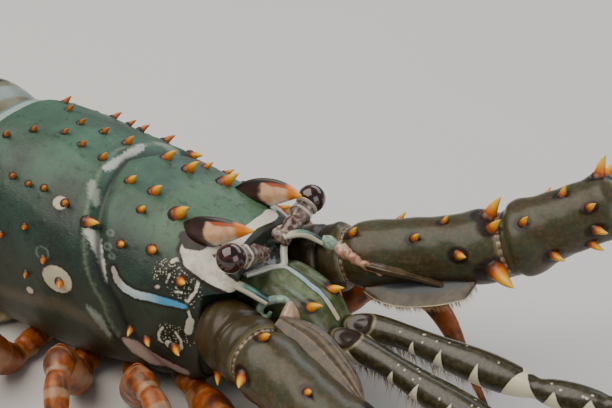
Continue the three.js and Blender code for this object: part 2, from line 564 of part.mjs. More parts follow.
// Side plates from the second ring on: depth, half length and middle as parts of the ring's length, thickness
const PLEURON = { depth: [20, 20, 18, 15, 9], half: [0.42, 0.42, 0.42, 0.42, 0.36],
  middle: [0.5, 0.5, 0.5, 0.5, 0.45], thick: 1.6, sunk: 4 };
// Outline of a side plate, top to tip, as [front and rear in half lengths, part of the depth]
const PLEURON_ROWS = [[1, -1, 0], [0.85, -0.95, 0.45], [0.15, -0.85, 0.8], [-0.55, -0.75, 1]];
const PADDLE = { out: 14, up: 2, reach: point(-4, 5, -12) };
const PADDLE_SIZES = [[0, 3, 1.2], [0.5, 5.2, 1.1], [1, 2, 0.7]];

function pleuron(plate, from, to, side) {
  const middle = between(from, to, PLEURON.middle[plate]);
  const half = TAIL_LINE.getLength() * (to - from) * PLEURON.half[plate];
  const top = tailPoint(middle, side > 0 ? -0.12 : Math.PI + 0.12, 1);
  const along = TAIL_LINE.getTangent(middle);
  return skin(PLEURON_ROWS, 4, ([front, rear, down], angle) => {
    const corner = Math.round(angle / (Math.PI / 2));
    const inner = corner < 2 ? 0 : PLEURON.thick * (1.6 - down);
    const drop = PLEURON.depth[plate] * down - PLEURON.sunk * (1 - down);
    return top.clone().addScaledVector(along, -half * (corner % 3 === 0 ? front : rear))
      .add(point(0, -side * (inner + 1.2 + down * 2), -drop));
  });
}

function paddle(middle, side) {
  const root = TAIL_LINE.getPoint(middle).add(point(0, side * PADDLE.out, PADDLE.up - TAIL_DROP(middle)));
  const tip = point(PADDLE.reach.x, side * PADDLE.reach.y, PADDLE.reach.z).add(root);
  return sweep(line(root, tip), PADDLE_SIZES, { sides: 4, up: point(1, 0, 0) });
}

for (let index = 0; index < 6; index += 1) {
  const [from, to] = [TAIL_JOINTS[index], TAIL_JOINTS[index + 1]];
  const ring = skin(RING_STEPS, 18, ([step, scale], angle) => {
    return tailPoint(between(from, to, step), angle, scale);
  });
  const plates = index > 0 ? SIDES.map(([, side]) => pleuron(index - 1, from, to, side)) : [];
  const paddles = index > 0 && index < 5 ? SIDES.map(([, side]) => paddle((from + to) / 2, side)) : [];
  const onwards = index === 0 ? point(-1, 0, 0) : TAIL_LINE.getTangent(from); // the tail's line starts level
  const open = trim(fuse(ring, plates, paddles), TAIL_LINE.getPoint(from), onwards);
  const whole = trim(open, TAIL_LINE.getPoint(to), TAIL_LINE.getTangent(to).negate());
  add(`tail_ring_${index + 1}`, fuse(whole), "tail");
}

// Tail fan: the middle plate and two lobes on each side, ridged lengthwise, low over the floor
const FAN_STEPS = [0, 0.2, 0.4, 0.6, 0.8, 0.93, 1];
const lobeHalf = profile([[0, 0.42], [0.2, 0.74], [0.5, 0.98], [0.75, 1], [0.93, 0.82], [1, 0.5]]);
const RIDGES = 5;
const RIDGE_HEIGHT = 0.22; // of the lobe's thickness
const FAN_ROOT = TAIL_LINE.getPoint(1);
const FAN_OVERRUN = 5; // how far a lobe starts inside the last ring before it is cut back
// Each lobe as [how far out and how high its root is, then its tip's place, half width and thickness]
const LOBES = {
  telson: [[0, 4], [-276, 0, 7.6], 17, 4],
  inner: [[11, -2], [-272, 40, 4.2], 14, 2.6],
  outer: [[17, -6.6], [-258, 67, 0.6], 15, 2.6],
};

function fanLobe([[out, rise], [x, y, z], half, thick], side) {
  const root = FAN_ROOT.clone().add(point(FAN_OVERRUN, side * out, rise));
  const along = point(x, side * y, z).sub(root);
  const across = point(-along.y, along.x, 0).normalize();
  const lobe = skin(FAN_STEPS, 16, (part, angle) => {
    const [sine, cosine] = [Math.sin(angle), Math.cos(angle)];
    const ridge = 1 + RIDGE_HEIGHT * Math.cos(cosine * RIDGES * Math.PI) * Math.min(1, part * 2);
    const taper = between(thick, thick * 0.3, part);
    const high = sine > 0 ? taper * sine ** 0.6 * ridge : -taper * 0.6 * Math.abs(sine) ** 0.5;
    const middle = root.clone().addScaledVector(along, part);
    return middle.setZ(Math.max(0, middle.z + high))
      .addScaledVector(across, half * lobeHalf(part) * squared(cosine, 0.85));
  });
  return trim(lobe, FAN_ROOT, TAIL_LINE.getTangent(1));
}

add("telson", fanLobe(LOBES.telson, 1), "fan");
SIDES.forEach(([letter, side]) => ["inner", "outer"].forEach((name) => {
  add(`uropod_${name}_${letter}`, fanLobe(LOBES[name], side), "fan");
}));

export default lobster;
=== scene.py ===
# An ornate spiny lobster at life size, a still model that lies on its breast plate. The object is put together
# from the head shield forward to the feelers, then under to the legs and back to the tail fan.
import bpy
import numpy as np
from mathutils import Matrix, Vector


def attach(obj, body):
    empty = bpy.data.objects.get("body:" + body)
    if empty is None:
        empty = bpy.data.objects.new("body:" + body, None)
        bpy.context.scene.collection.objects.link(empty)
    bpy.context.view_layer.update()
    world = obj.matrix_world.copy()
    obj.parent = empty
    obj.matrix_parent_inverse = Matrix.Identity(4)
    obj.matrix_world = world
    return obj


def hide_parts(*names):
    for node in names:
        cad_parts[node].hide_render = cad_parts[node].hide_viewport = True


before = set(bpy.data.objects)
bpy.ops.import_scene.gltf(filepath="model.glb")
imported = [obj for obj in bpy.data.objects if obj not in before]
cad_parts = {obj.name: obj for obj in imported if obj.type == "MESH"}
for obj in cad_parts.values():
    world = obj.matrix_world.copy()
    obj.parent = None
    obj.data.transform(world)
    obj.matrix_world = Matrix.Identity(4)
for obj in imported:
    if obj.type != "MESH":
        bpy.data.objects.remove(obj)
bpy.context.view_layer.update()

# Camera: a long lens in front of the animal's right shoulder, 30 degrees above the floor, near enough that the
# eyes are 0.56 m away. It has no shift and no depth of field.
EYE = np.array([58.6, 25.2, 68.6])  # centre of the left eye in mm, of which the right one is the mirror image
camera = bpy.data.objects.new("camera", bpy.data.cameras.new("camera"))
bpy.context.scene.collection.objects.link(camera)
camera.data.lens = 91.5
camera.data.sensor_width = 36
camera.data.clip_start = 0.01
camera.matrix_world = Matrix(((0.8290, -0.2796, 0.4843, 0.33743), (0.5592, 0.4145, -0.7180, -0.39181),
                              (0, 0.8660, 0.5, 0.35593), (0, 0, 0, 1)))
bpy.context.scene.camera = camera

# Floor and light: a pale matt board under a large soft light from the left, a long strip behind that draws the
# wet edges, and a weak fill. None of it belongs to the object.


def linear(colour):
    """The linear RGBA of an sRGB hex colour."""
    parts = [int(colour[place:place + 2], 16) / 255 for place in (1, 3, 5)]
    return [part / 12.92 if part <= 0.04045 else ((part + 0.055) / 1.055) ** 2.4 for part in parts] + [1]


def new_material(name):
    """An empty material for nodes."""
    material = bpy.data.materials.new(name)
    material.use_nodes = True
    material.node_tree.nodes.clear()
    return material


def add_node(material, kind, inputs={}, **settings):
    """A node with its settings and its inputs, each of them a value, another node's output or the name
    of a mark that the mesh carries."""
    node = material.node_tree.nodes.new("ShaderNode" + kind)
    for name, value in settings.items():
        setattr(node, name, value)
    for name, value in inputs.items():
        if isinstance(value, str):
            value = add_node(material, "Attribute", attribute_name=value).outputs["Fac"]
        if isinstance(value, bpy.types.NodeSocket):
            material.node_tree.links.new(value, node.inputs[name])
        else:
            node.inputs[name].default_value = value
    return node


# Painted board: matt emulsion with a faint roller grain 4 mm wide, so it takes soft shadows and no gloss
board = new_material("painted_board")
place = add_node(board, "TexCoord").outputs["Object"]
grain = add_node(board, "TexNoise", {"Vector": place, "Scale": 1 / 0.004, "Detail": 3}).outputs["Fac"]
relief = add_node(board, "Bump", {"Height": grain, "Strength": 0.1, "Distance": 0.0002})
paint = add_node(board, "BsdfPrincipled", {"Base Color": linear("#dad9d5"), "Roughness": 0.7,
                                           "Normal": relief.outputs[0]})
add_node(board, "OutputMaterial", {"Surface": paint.outputs[0]})
bpy.ops.mesh.primitive_plane_add(size=60)
floor = bpy.context.object
floor.name = "floor"
floor.data.materials.append(board)

# Each light as (name, place in m, what it looks at, width, height, watts, colour)
LIGHTS = [("key", (-0.4, -0.35, 1.1), (0.03, 0, 0.05), 1.5, 1.2, 19, "#fff6ea"),
          ("strip", (0.1, 0.95, 0.75), (0.02, 0, 0.06), 1.4, 0.5, 5, "#eef4ff"),
          ("fill", (1.0, -0.25, 0.45), (0.05, 0, 0.05), 0.7, 0.7, 3, "#ffffff")]
for name, where, towards, width, height, watts, colour in LIGHTS:
    light = bpy.data.lights.new(name, "AREA")
    light.shape = "RECTANGLE"
    light.size, light.size_y, light.energy, light.color = width, height, watts, linear(colour)[:3]
    lamp = bpy.data.objects.new(name, light)
    lamp.location = where
    lamp.rotation_euler = (Vector(where) - Vector(towards)).to_track_quat("Z", "Y").to_euler()
    bpy.context.scene.collection.objects.link(lamp)
world = bpy.data.worlds.new("studio")
bpy.context.scene.world = world
world.use_nodes = True
sky = world.node_tree.nodes["Background"].inputs
sky["Color"].default_value = linear("#cdd3da")
sky["Strength"].default_value = 0.35

# Head shield: one thick shell over head and breast, hardened with lime, which the animal cast and grew in one
# piece. The neck groove crosses it, a rolled band closes its rear edge, and the eyes' bowls notch its front.
MM = 0.001
RIGHT_SIDE = np.array([1, -1, 1])  # turns a place on the left side into its mirror image on the right


def profile(pairs):
    """A smooth curve through [position, value] pairs, as a function of position."""
    at, value = np.array(pairs, float).T
    slope = np.gradient(value, at)

    def curve(position):
        held = np.clip(position, at[0], at[-1])
        left = np.clip(np.searchsorted(at, held, "right") - 1, 0, len(at) - 2)
        step = at[left + 1] - at[left]
        t = (held - at[left]) / step
        return ((1 + 2 * t) * (1 - t) ** 2 * value[left] + t * (1 - t) ** 2 * step * slope[left]
                + t * t * (3 - 2 * t) * value[left + 1] + t * t * (t - 1) * step * slope[left + 1])
    return curve


def smooth(value, low, high):
    """From 0 at low to 1 at high, with soft ends."""
    share = np.clip((value - low) / (high - low), 0, 1)
    return share * share * (3 - 2 * share)


ROOF = profile([[-71, 81], [-60, 83], [-40, 82.5], [-17, 79], [0, 76], [15, 74], [30, 71.6], [45, 68],
                [58, 63.5]])
HALF_WIDTH = profile([[-71, 36], [-55, 40], [-30, 42], [0, 41.5], [20, 38.5], [40, 34], [58, 27.5]])
SHOULDER = profile([[-71, 41.6], [-30, 39.6], [20, 39.6], [58, 41.6]])
KEEL = profile([[-71, 8], [-50, 4], [30, 4], [58, 8]])
REAR_EDGE = profile([[0, -69], [40, -71], [80, -73], [130, -70], [180, -68]])
NECK_GROOVE = profile([[0, -9], [48, 2], [80, 11], [98, 20], [130, 34], [180, 40]])
FRONT_EDGE = profile([[0, 54], [30, 55], [52, 58], [75, 52], [100, 47.5], [180, 46]])
UNDERSIDE, FACE, BROW = 11, 48, 52  # the lower edge, the upright front, and the underside of the brow over it
ORBIT = 8.4  # radius of the bowl that each eye stands in


def shield_at(x, degrees, grow=0):
    """The shell's outside at a place along the body and so many degrees down from the crest."""
    down = np.abs(degrees)
    sine, cosine = np.sin(np.radians(down)), np.cos(np.radians(down))
    groove, band = x - NECK_GROOVE(down), x - REAR_EDGE(down) - 4.5
    lip = 0.5 * np.exp(-((groove + 4.2) / 2.2) ** 2)  # the shell rolls up behind the groove
    out = grow - 2 * np.exp(-(groove / 3.2) ** 2) - 1.1 * np.exp(-(band / 1.6) ** 2) + lip
    roof, shoulder, half = ROOF(x) + out, SHOULDER(x), HALF_WIDTH(x) + out
    upper = cosine >= 0
    wide = half * np.abs(sine) ** np.where(upper, 0.9, 0.55)
    low = KEEL(x) + (shoulder - KEEL(x)) * (1 - np.abs(cosine) ** 0.6)
    high = shoulder + (roof - shoulder) * np.abs(cosine) ** 0.9
    return np.stack([x + 0 * wide, np.sign(degrees) * wide, np.where(upper, high, low)], -1)


def unit(vectors):
    return vectors / np.linalg.norm(vectors, axis=-1, keepdims=True)


def on_shield(x, degrees):
    """A place on the shell with the directions out of it and forward along it."""
    root = shield_at(x, degrees)
    forward = unit(shield_at(x + 1, degrees) - root)
    out = unit(np.cross(forward, shield_at(x, degrees + 1) - root))
    away = root - [x, 0, SHOULDER(x)]
    return root, out if out @ away > 0 else -out, forward


def reach(places, line, halves=0):
    """How far places lie from a line through points, less the line's half width, in mm."""
    line = np.array(line, float)
    halves = np.broadcast_to(np.array(halves, float), len(line))
    nearest = np.full(places.shape[:-1], 99.0)
    for start, end, first, last in zip(line[:-1], line[1:], halves[:-1], halves[1:]):
        along = end - start
        share = np.clip((places - start) @ along / (along @ along), 0, 1)
        apart = np.linalg.norm(places - start - share[..., None] * along, axis=-1)
        nearest = np.minimum(nearest, apart - first - (last - first) * share)
    return nearest


def lofted(grid, **marks):
    """A closed skin over rings of places (ring, side, xyz), each end closed on its middle, with its marks."""
    rings, sides, _ = grid.shape
    here = np.arange(rings * sides).reshape(rings, sides)
    beside = np.roll(here, -1, 1)
    quads = np.stack([here[:-1], beside[:-1], beside[1:], here[1:]], -1).reshape(-1, 4)
    first, last = np.full(sides, here.size), np.full(sides, here.size + 1)
    fans = np.vstack([np.stack([first, beside[0], here[0]], -1), np.stack([last, here[-1], beside[-1]], -1)])
    places = np.vstack([grid.reshape(-1, 3), grid[0].mean(0), grid[-1].mean(0)])
    a, b, c, d = (places[quads[:, corner]] - places[0] for corner in range(4))
    volume = np.einsum("ij,ij->", a, np.cross(b, c)) + np.einsum("ij,ij->", a, np.cross(c, d))
    if volume < 0:
        quads, fans = quads[:, ::-1], fans[:, ::-1]
    flat = {}
    for name, values in marks.items():
        values = np.broadcast_to(values, (rings, sides))
        flat[name] = np.concatenate([values.ravel(), [values[0].mean(), values[-1].mean()]])
    return places, quads, fans, flat


def piece(name, forms, material, slot, *nodes):
    """One object from closed forms in mm, riding with the body and standing for nodes. Its slot is not used."""
    places, faces, start = [], [], 0
    for spots, quads, fans, _ in forms:
        places.append(spots)
        faces += (quads + start).tolist() + (fans + start).tolist()
        start += len(spots)
    mesh = bpy.data.meshes.new(name)
    mesh.from_pydata((np.vstack(places) * MM).tolist(), [], faces)
    for mark in sorted({mark for form in forms for mark in form[3]}):
        values = np.concatenate([form[3].get(mark, np.full(len(form[0]), 99.0)) for form in forms])
        mesh.attributes.new(mark, "FLOAT", "POINT").data.foreach_set("value", values.astype(np.float32))
    mesh.polygons.foreach_set("use_smooth", [True] * len(mesh.polygons))
    mesh.materials.append(material)
    whole = bpy.data.objects.new(name, mesh)
    bpy.context.scene.collection.objects.link(whole)
    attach(whole, "root")
    if nodes:
        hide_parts(*nodes)


def waves(places, size, seed):
    """A soft seeded unevenness of about that size in mm, from -1 to 1."""
    rng = np.random.default_rng(seed)
    total = 0
    for _ in range(7):
        way = unit(rng.normal(size=3)) * 2 * np.pi / size * rng.uniform(0.7, 1.5)
        total = total + np.sin(places @ way + rng.uniform(0, 6.28))
    return total / 4


# Rings from the rear edge through the neck groove (half way) to the front, with sides spaced evenly in mm
SHIELD_RINGS, SHIELD_SIDES = 250, 280
all_round = np.linspace(-180, 180, 4001)
walked = np.concatenate([[0], np.cumsum(np.linalg.norm(np.diff(shield_at(0, all_round), axis=0), axis=1))])
degrees = np.interp((np.arange(SHIELD_SIDES) + 0.5) / SHIELD_SIDES * walked[-1], walked, all_round)[None, :]
dip = np.abs(degrees)
rear, groove, front = REAR_EDGE(dip), NECK_GROOVE(dip), FRONT_EDGE(dip)
over_face = smooth(shield_at(front, degrees)[..., 2], BROW - 2, BROW + 1.5)
upright = np.minimum(front, FACE)
front = upright + (front - upright) * over_face
part = np.linspace(0, 1, SHIELD_RINGS)[:, None]
x = np.where(part < 0.5, rear + (groove - rear) * part * 2, groove + (front - groove) * (part * 2 - 1))
shell = shield_at(x, degrees + 0 * x)
inwards = np.stack([0 * shell[..., 0], -shell[..., 1], 45 - shell[..., 2]], -1)
inwards = inwards / (np.linalg.norm(inwards, axis=-1, keepdims=True) + 1e-6)

# Low swellings and fine tubercles, which stay off the groove and the edges
calm = smooth(np.abs(x - groove), 1, 6) * smooth(x - rear, 5, 10)
swell = 0.35 * waves(shell, 26, 3) + 0.14 * waves(shell, 9, 4)
rng = np.random.default_rng(11)
tubercles = np.zeros(x.shape)
TUBERCLES = 420
TUBERCLE_RANGES = [(-62, 46), (-105, 105), (0.5, 1.1)]  # along the body, degrees down from the crest, radius
for at_x, at_degrees, size in zip(*(rng.uniform(low, high, TUBERCLES) for low, high in TUBERCLE_RANGES)):
    middle = shield_at(at_x, at_degrees)
    near = (np.abs(shell - middle) < 3).all(-1)
    apart = np.linalg.norm(shell[near] - middle, axis=-1)
    tubercles[near] = np.maximum(tubercles[near], 0.32 * size * np.exp(-(apart / size) ** 2))
shell = shell - inwards * (swell * calm + tubercles * calm)[..., None]

# The rear edge rolls in under itself, and the front closes on the upright face below the brow
rim, face_rim = shell[0], shell[-1]
TUCKS = [(2.6, 5), (1.9, 1.2), (1, 0.1), (0.3, 0)]  # rings under the rear edge, as mm inwards and ahead
tuck_rear = [rim + inwards[0] * inset + [ahead, 0, 0] for inset, ahead in TUCKS]
high = smooth(face_rim[:, 2], BROW - 1, BROW + 2)
lip_low = np.stack([face_rim[:, 0] - 0.5, face_rim[:, 1] * 0.985,
                    face_rim[:, 2] + (BROW + 0.4 + (face_rim[:, 2] - BROW) * 0.08 - face_rim[:, 2]) * high], -1)
lip_low += inwards[-1] * 2 * (1 - high)[:, None]
on_face = np.stack([np.full(SHIELD_SIDES, float(FACE)), lip_low[:, 1] * 0.93,
                    np.minimum(lip_low[:, 2], BROW) * 0.97 + 1], -1)
panel = [face_rim + (lip_low - face_rim) * share + [0.5 * (1 - (2 * share - 1) ** 2), 0, 0]
         for share in (0.06, 0.15, 0.3, 0.45, 0.6, 0.75, 0.9)]
closing = [on_face * share + np.array([FACE, 0, 34]) * (1 - share) for share in (1, 0.6, 0.25)]
shell = np.concatenate([np.array(tuck_rear), shell, np.array(panel), lip_low[None], np.array(closing)])
# The lower edge is cut level, with a soft bend of about 1.6 to the mm
shell[..., 2] = UNDERSIDE + np.log1p(np.exp((shell[..., 2] - UNDERSIDE) * 1.6)) / 1.6
x = np.concatenate([np.repeat(x[:1], len(tuck_rear), 0), x, np.repeat(x[-1:], len(panel) + 1 + len(closing), 0)])
for centre in (EYE, EYE * RIGHT_SIDE):
    away = shell - centre
    apart = np.linalg.norm(away, axis=-1, keepdims=True)
    shell = np.where(apart < ORBIT, centre + away / np.maximum(apart, 1e-6) * ORBIT, shell)

# Spines of one flank as [distance along the body, degrees down from the crest, length]
SHIELD_SPINES = [
    [27, 20, 8], [13, 13, 6], [2, 13, 5.5], [-14, 8, 5], [-25, 7, 4], [-35, 5, 4], [-46, 12, 4], [-54, 22, 4],
    [14, 27, 4], [-25, 40, 4], [-32, 42, 4], [-40, 42, 4], [-14, 42, 5], [-2, 46, 6],
    [-27, 64, 4], [-16, 76, 4.5], [-25, 88, 4], [-8, 85, 5], [14, 51, 4.5], [26, 48, 5], [40, 62, 5.5],
    [28, 98, 4.5], [21, 95, 4], [39, 100, 6], [-46, 60, 4], [-52, 78, 4], [-38, 74, 4]]
SPINE_SLIMNESS = 0.42  # radius of a spine's root to its length


def circle(count):
    """So many even steps round a circle, in radians."""
    return np.linspace(0, 2 * np.pi, count, endpoint=False)


def spine(root, out, forward, length, radius, lean=0.7, own=1):
    """A spine that swells from the shell and curves forward to its point, marked from root (0) to tip (1). Its own
    colours run from none (0), where it looks like the shell it stands on, to full (1)."""
    up = np.array([-0.3, -0.12, 0, 0.06, 0.13, 0.22, 0.34, 0.48, 0.64, 0.8, 0.9, 0.96, 1])
    thick = radius * (0.86 * np.clip(1 - up, 0, 1) ** 0.75 + 0.35 * np.exp(-(np.clip(up + 0.05, 0, 1) / 0.1) ** 2))
    thick[-1] = radius * 0.05
    out, forward = unit(out), unit(forward)
    tip = unit(out + lean * forward) * length
    bow = (np.clip(up, 0, 1) * (1 - up))[:, None] * (out - forward * lean * 0.6) * length * 0.22
    middle = root + up[:, None] * tip + bow
    across = unit(np.cross(tip, out + [0.01, 0, 0.02]))
    over = unit(np.cross(across, tip))
    turn = circle(12)
    ring = np.cos(turn)[:, None] * across + np.sin(turn)[:, None] * over
    return lofted(middle[:, None] + thick[:, None, None] * ring[None], tip=np.clip(up, 0, 1)[:, None], own=own)


# Markings that stand in fixed places, as points in mm on the right side; the left side mirrors them
BEHIND_EYE = [(35.1, -20, 66.2), (36.5, -23.7, 63.6), (40.4, -25.4, 60.8), (46.7, -25, 58.6), (52.5, -23.9, 56.7),
              (57.1, -23.1, 55)]
UNDER_HORN = [(36.5, -23.7, 63.6), (40.9, -21.2, 63.8), (44.5, -19, 64.4), (50, -17, 66.5)]
BESIDE_EYE = [(40.5, -23.6, 62.4), (46, -22, 61.6), (51, -21.5, 60)]
# Dark brown on the shell where each horn's foot meets it: partly the root's own colour, partly painted shade under
# the horn
HORN_FOOT_SHADE = [(33.6, -20, 66.6), (37, -21.2, 65.6), (41, -20.8, 65.6), (45, -19.6, 66.4)]
BROW_MARGIN = [(51.3, -18.7, 70.3), (49.9, -14.5, 67.2), (50.1, -9.5, 65.6), (49.6, 0, 65.9), (50.1, 9.5, 65.6),
               (49.9, 14.5, 67.2), (51.3, 18.7, 70.3)]
BLUE_LINE = [(13.7, -36.8, 54.5), (16, -37.5, 51), (19.5, -37.4, 48.6), (23.8, -37, 47.4), (29.7, -35.8, 47.6),
             (37.4, -34, 47.3), (42.9, -32.4, 46.6)]
GROOVE_TOP = [(-10.2, -11, 76.2), (-10, -6, 76.5), (-10.4, 0, 76.5)]
GROOVE_SHOULDER = [(-9.8, -18.9, 74.3), (-7, -21.5, 72.4), (-4, -23.6, 70.2)]
GROOVE_FLANK = [(-1.6, -32.6, 63.4), (1.5, -32.5, 61.8), (5.4, -34.2, 58), (8.5, -36.2, 53.9), (10.7, -37.4, 48.5)]
GROOVE_FOOT = [(3.9, -41, 36), (8, -40.4, 32.6), (12, -39.4, 26)]
LENS = [(17.5, -38, 26), (22, -36.5, 22.7), (28, -34.4, 19.5), (34, -31.8, 17.5), (39.5, -29.6, 16.5)]
LOW_BAND = [(-60, -41, 24), (-30, -42.5, 29), (-9.2, -41.8, 33.2), (4.7, -40.9, 30.4), (14, -39.5, 20)]
WHITE_LINES = [
    ([(45.4, -26.9, 58), (45.9, -28.2, 55), (45.9, -29.5, 52.7), (44.6, -30.9, 50.4), (43.8, -31.7, 48.5)], 0.65),
    ([(43, -31.8, 49.1), (44.1, -32.3, 45.5), (45.2, -32.5, 42)], 0.5), ([(45, -32.3, 41), (44, -32.6, 36.5)], 1.5),
    ([(34.5, -35.5, 36), (32.7, -35.7, 33), (32.6, -35.6, 30), (35, -35.6, 28.6), (37.8, -36, 29)], 0.5),
    ([(39.3, -34, 35), (41.1, -33.4, 32), (41.2, -33.2, 29), (40, -34, 26.5)], 0.55),
    ([(34.5, -28.2, 60.2), (36, -26.7, 61.2), (38.5, -26.4, 60.6)], 0.8),
    ([(35.5, -31, 57), (34.9, -32.5, 53.5), (37, -32.9, 51.3), (41.2, -31.9, 51.5)], 0.45),
    ([(36.5, -34.6, 29), (40, -34.6, 28)], 1.7)]
GRAIN_PATCHES = [([(34, -30.5, 57), (40, -29.5, 56), (43, -31, 51)], 5), ([(36, -34.8, 34), (43.5, -33, 34)], 3.6)]
# Large pale dots as [distance along the body, degrees down from the crest, radius]
BIG_DOTS = [[-9.6, 84, 5.3], [-16.2, 43, 2.5], [-58, 52, 1.5], [-44, 90, 1.6], [32, 70, 0.8], [-24, 92, 1.3]]
RING_DOTS = [[-17, 73, 2.4], [8, 47, 1.1], [9, 55, 1.2], [12, 60, 0.9], [7, 62, 0.9]]
LONGER = [1.3, 1, 1]  # how much longer a dot is along the body than it is high
PATCH_BACK = 1.5  # how far the dark patch of a spine lies behind its root

folded = np.where(shell[..., 1:2] > 0, shell * RIGHT_SIDE, shell)
roots = np.array([on_shield(along, down) for along, down, _ in SHIELD_SPINES])  # of the left side
behind = roots[:, 0] * RIGHT_SIDE - roots[:, 2] * RIGHT_SIDE * PATCH_BACK


def from_dots(rows):
    """How far each place of the shell lies from the edge of the nearest dot, in mm."""
    return np.min([np.linalg.norm((folded - shield_at(along, -down)) / LONGER, axis=-1) - radius
                   for along, down, radius in rows], axis=0)


shell_marks = dict(
    groove=x - groove, rear=x - rear, down=dip, ahead=x,
    patch_far=np.min([np.linalg.norm(folded - place, axis=-1) for place in behind], axis=0),
    dot_far=from_dots(BIG_DOTS), ring_far=np.abs(from_dots(RING_DOTS)),
    orbit=np.linalg.norm(folded - EYE * RIGHT_SIDE, axis=-1) - ORBIT,
    eye_band=np.minimum(reach(folded, BEHIND_EYE, [0.7, 1.5, 2.3, 2.7, 2.8, 2.2]),
                        np.minimum(reach(folded, UNDER_HORN, [1.4, 1.8, 2, 2]), reach(folded, BESIDE_EYE, 2))),
    horn_foot=reach(folded, HORN_FOOT_SHADE, [1.6, 2.2, 1.6, 1.2]),
    margin=reach(folded, BROW_MARGIN, [3.6, 3.4, 2.3, 1.6, 2.3, 3.4, 3.6]),
    blue_line=reach(folded, BLUE_LINE, [0.9, 1.3, 1.5, 1.5, 1.5, 1.4, 0.9]),
    groove_white=np.minimum(reach(folded, GROOVE_FLANK, [1.2, 2.2, 2, 1.6, 0.8]),
                            reach(folded, GROOVE_TOP, [1.2, 1.8, 1.2])),
    groove_grey=np.minimum(reach(folded, GROOVE_SHOULDER, [1.6, 2.2, 1.6]),
                           reach(folded, GROOVE_FOOT, [1, 2.2, 1])),
    lens=reach(folded, LENS, [0.8, 2.8, 3.8, 3.8, 2.8]), low_band=reach(folded, LOW_BAND, [2, 3, 3.4, 2.6, 1]),
    white_line=np.min([reach(folded, line, half) for line, half in WHITE_LINES], axis=0),
    grains=np.min([reach(folded, line, half) for line, half in GRAIN_PATCHES], axis=0),
    fore_top=smooth(x, 8, 34) * smooth(-dip, -60, -30), brow=smooth(x, 50.5, 52) * smooth(-dip, -44, -40))


def stain(material, under, colour, mark, full, gone, strength=1, wander=None, by=0):
    """A marking over the colours under it: whole where its mark is full, and none where it is gone. Its edge
    wanders by so much of a pattern."""
    if wander:
        mark = add_node(material, "Math", {0: wander, 1: by, 2: mark}, operation="MULTIPLY_ADD").outputs[0]
    share = add_node(material, "MapRange", {"Value": mark, "From Min": full, "From Max": gone,
                                            "To Min": strength, "To Max": 0}, interpolation_type="SMOOTHSTEP")
    over = linear(colour) if isinstance(colour, str) else colour
    return add_node(material, "Mix", {0: share.outputs[0], 6: under, 7: over}, data_type="RGBA").outputs[2]


def layered(material, lowest, markings):
    """A lowest colour with markings over it, one after another, each as the values of a stain."""
    colour = linear(lowest)
    for marking in markings:
        colour = stain(material, colour, *marking)
    return colour


def finish(material, colour, height, depth, **shader):
    """The surface itself: its colour, its relief of so many mm, and the shader's own settings."""
    relief = add_node(material, "Bump", {"Height": height, "Strength": 1, "Distance": depth * MM})
    settings = {name.replace("_", " "): value for name, value in shader.items()}
    skin = add_node(material, "BsdfPrincipled", {"Base Color": colour, "Normal": relief.outputs[0], **settings})
    add_node(material, "OutputMaterial", {"Surface": skin.outputs[0]})


def pattern(material, kind, size, **inputs):
    """A random pattern that stands in the animal's own space, its marks about so many mm wide."""
    place = add_node(material, "TexCoord").outputs["Object"]
    return add_node(material, "Tex" + kind, {"Vector": place, "Scale": 1 / (size * MM), **inputs}).outputs[0]


# Green cuticle: a wet, limy shell whose clear waxy skin gleams softly over its pigment. Blue-green clouds lie
# over near-black green, olive brown low down. Cream, white and blue markings stand in it, edged with near black.
green = new_material("wet_green_cuticle")
clouds = pattern(green, "Noise", 19, Detail=4)
mottle = pattern(green, "Noise", 3.5, Detail=4, Roughness=0.6)
specks = pattern(green, "Noise", 1.3, Detail=4, Roughness=0.65)
from_groove = add_node(green, "Math", {0: "groove"}, operation="ABSOLUTE").outputs[0]
behind_groove = add_node(green, "Math", {0: "groove", 1: 4.6}, operation="ADD").outputs[0]
behind_groove = add_node(green, "Math", {0: behind_groove}, operation="ABSOLUTE").outputs[0]
in_patch = add_node(green, "Math", {0: "grains", 1: 0}, operation="MAXIMUM").outputs[0]
granules = pattern(green, "Voronoi", 1.05)
granules = add_node(green, "Math", {0: in_patch, 1: 0.2, 2: granules}, operation="MULTIPLY_ADD").outputs[0]
streak = layered(green, "#4c9ac2", [
    ("#b9c8c9", "ahead", 27, 37, 1, mottle, 3),
    ("#a59b91", "ahead", 16.5, 20)])
cream = layered(green, "#ddd6c8", [("#a8998a", mottle, 0.36, 0.56, 0.6)])
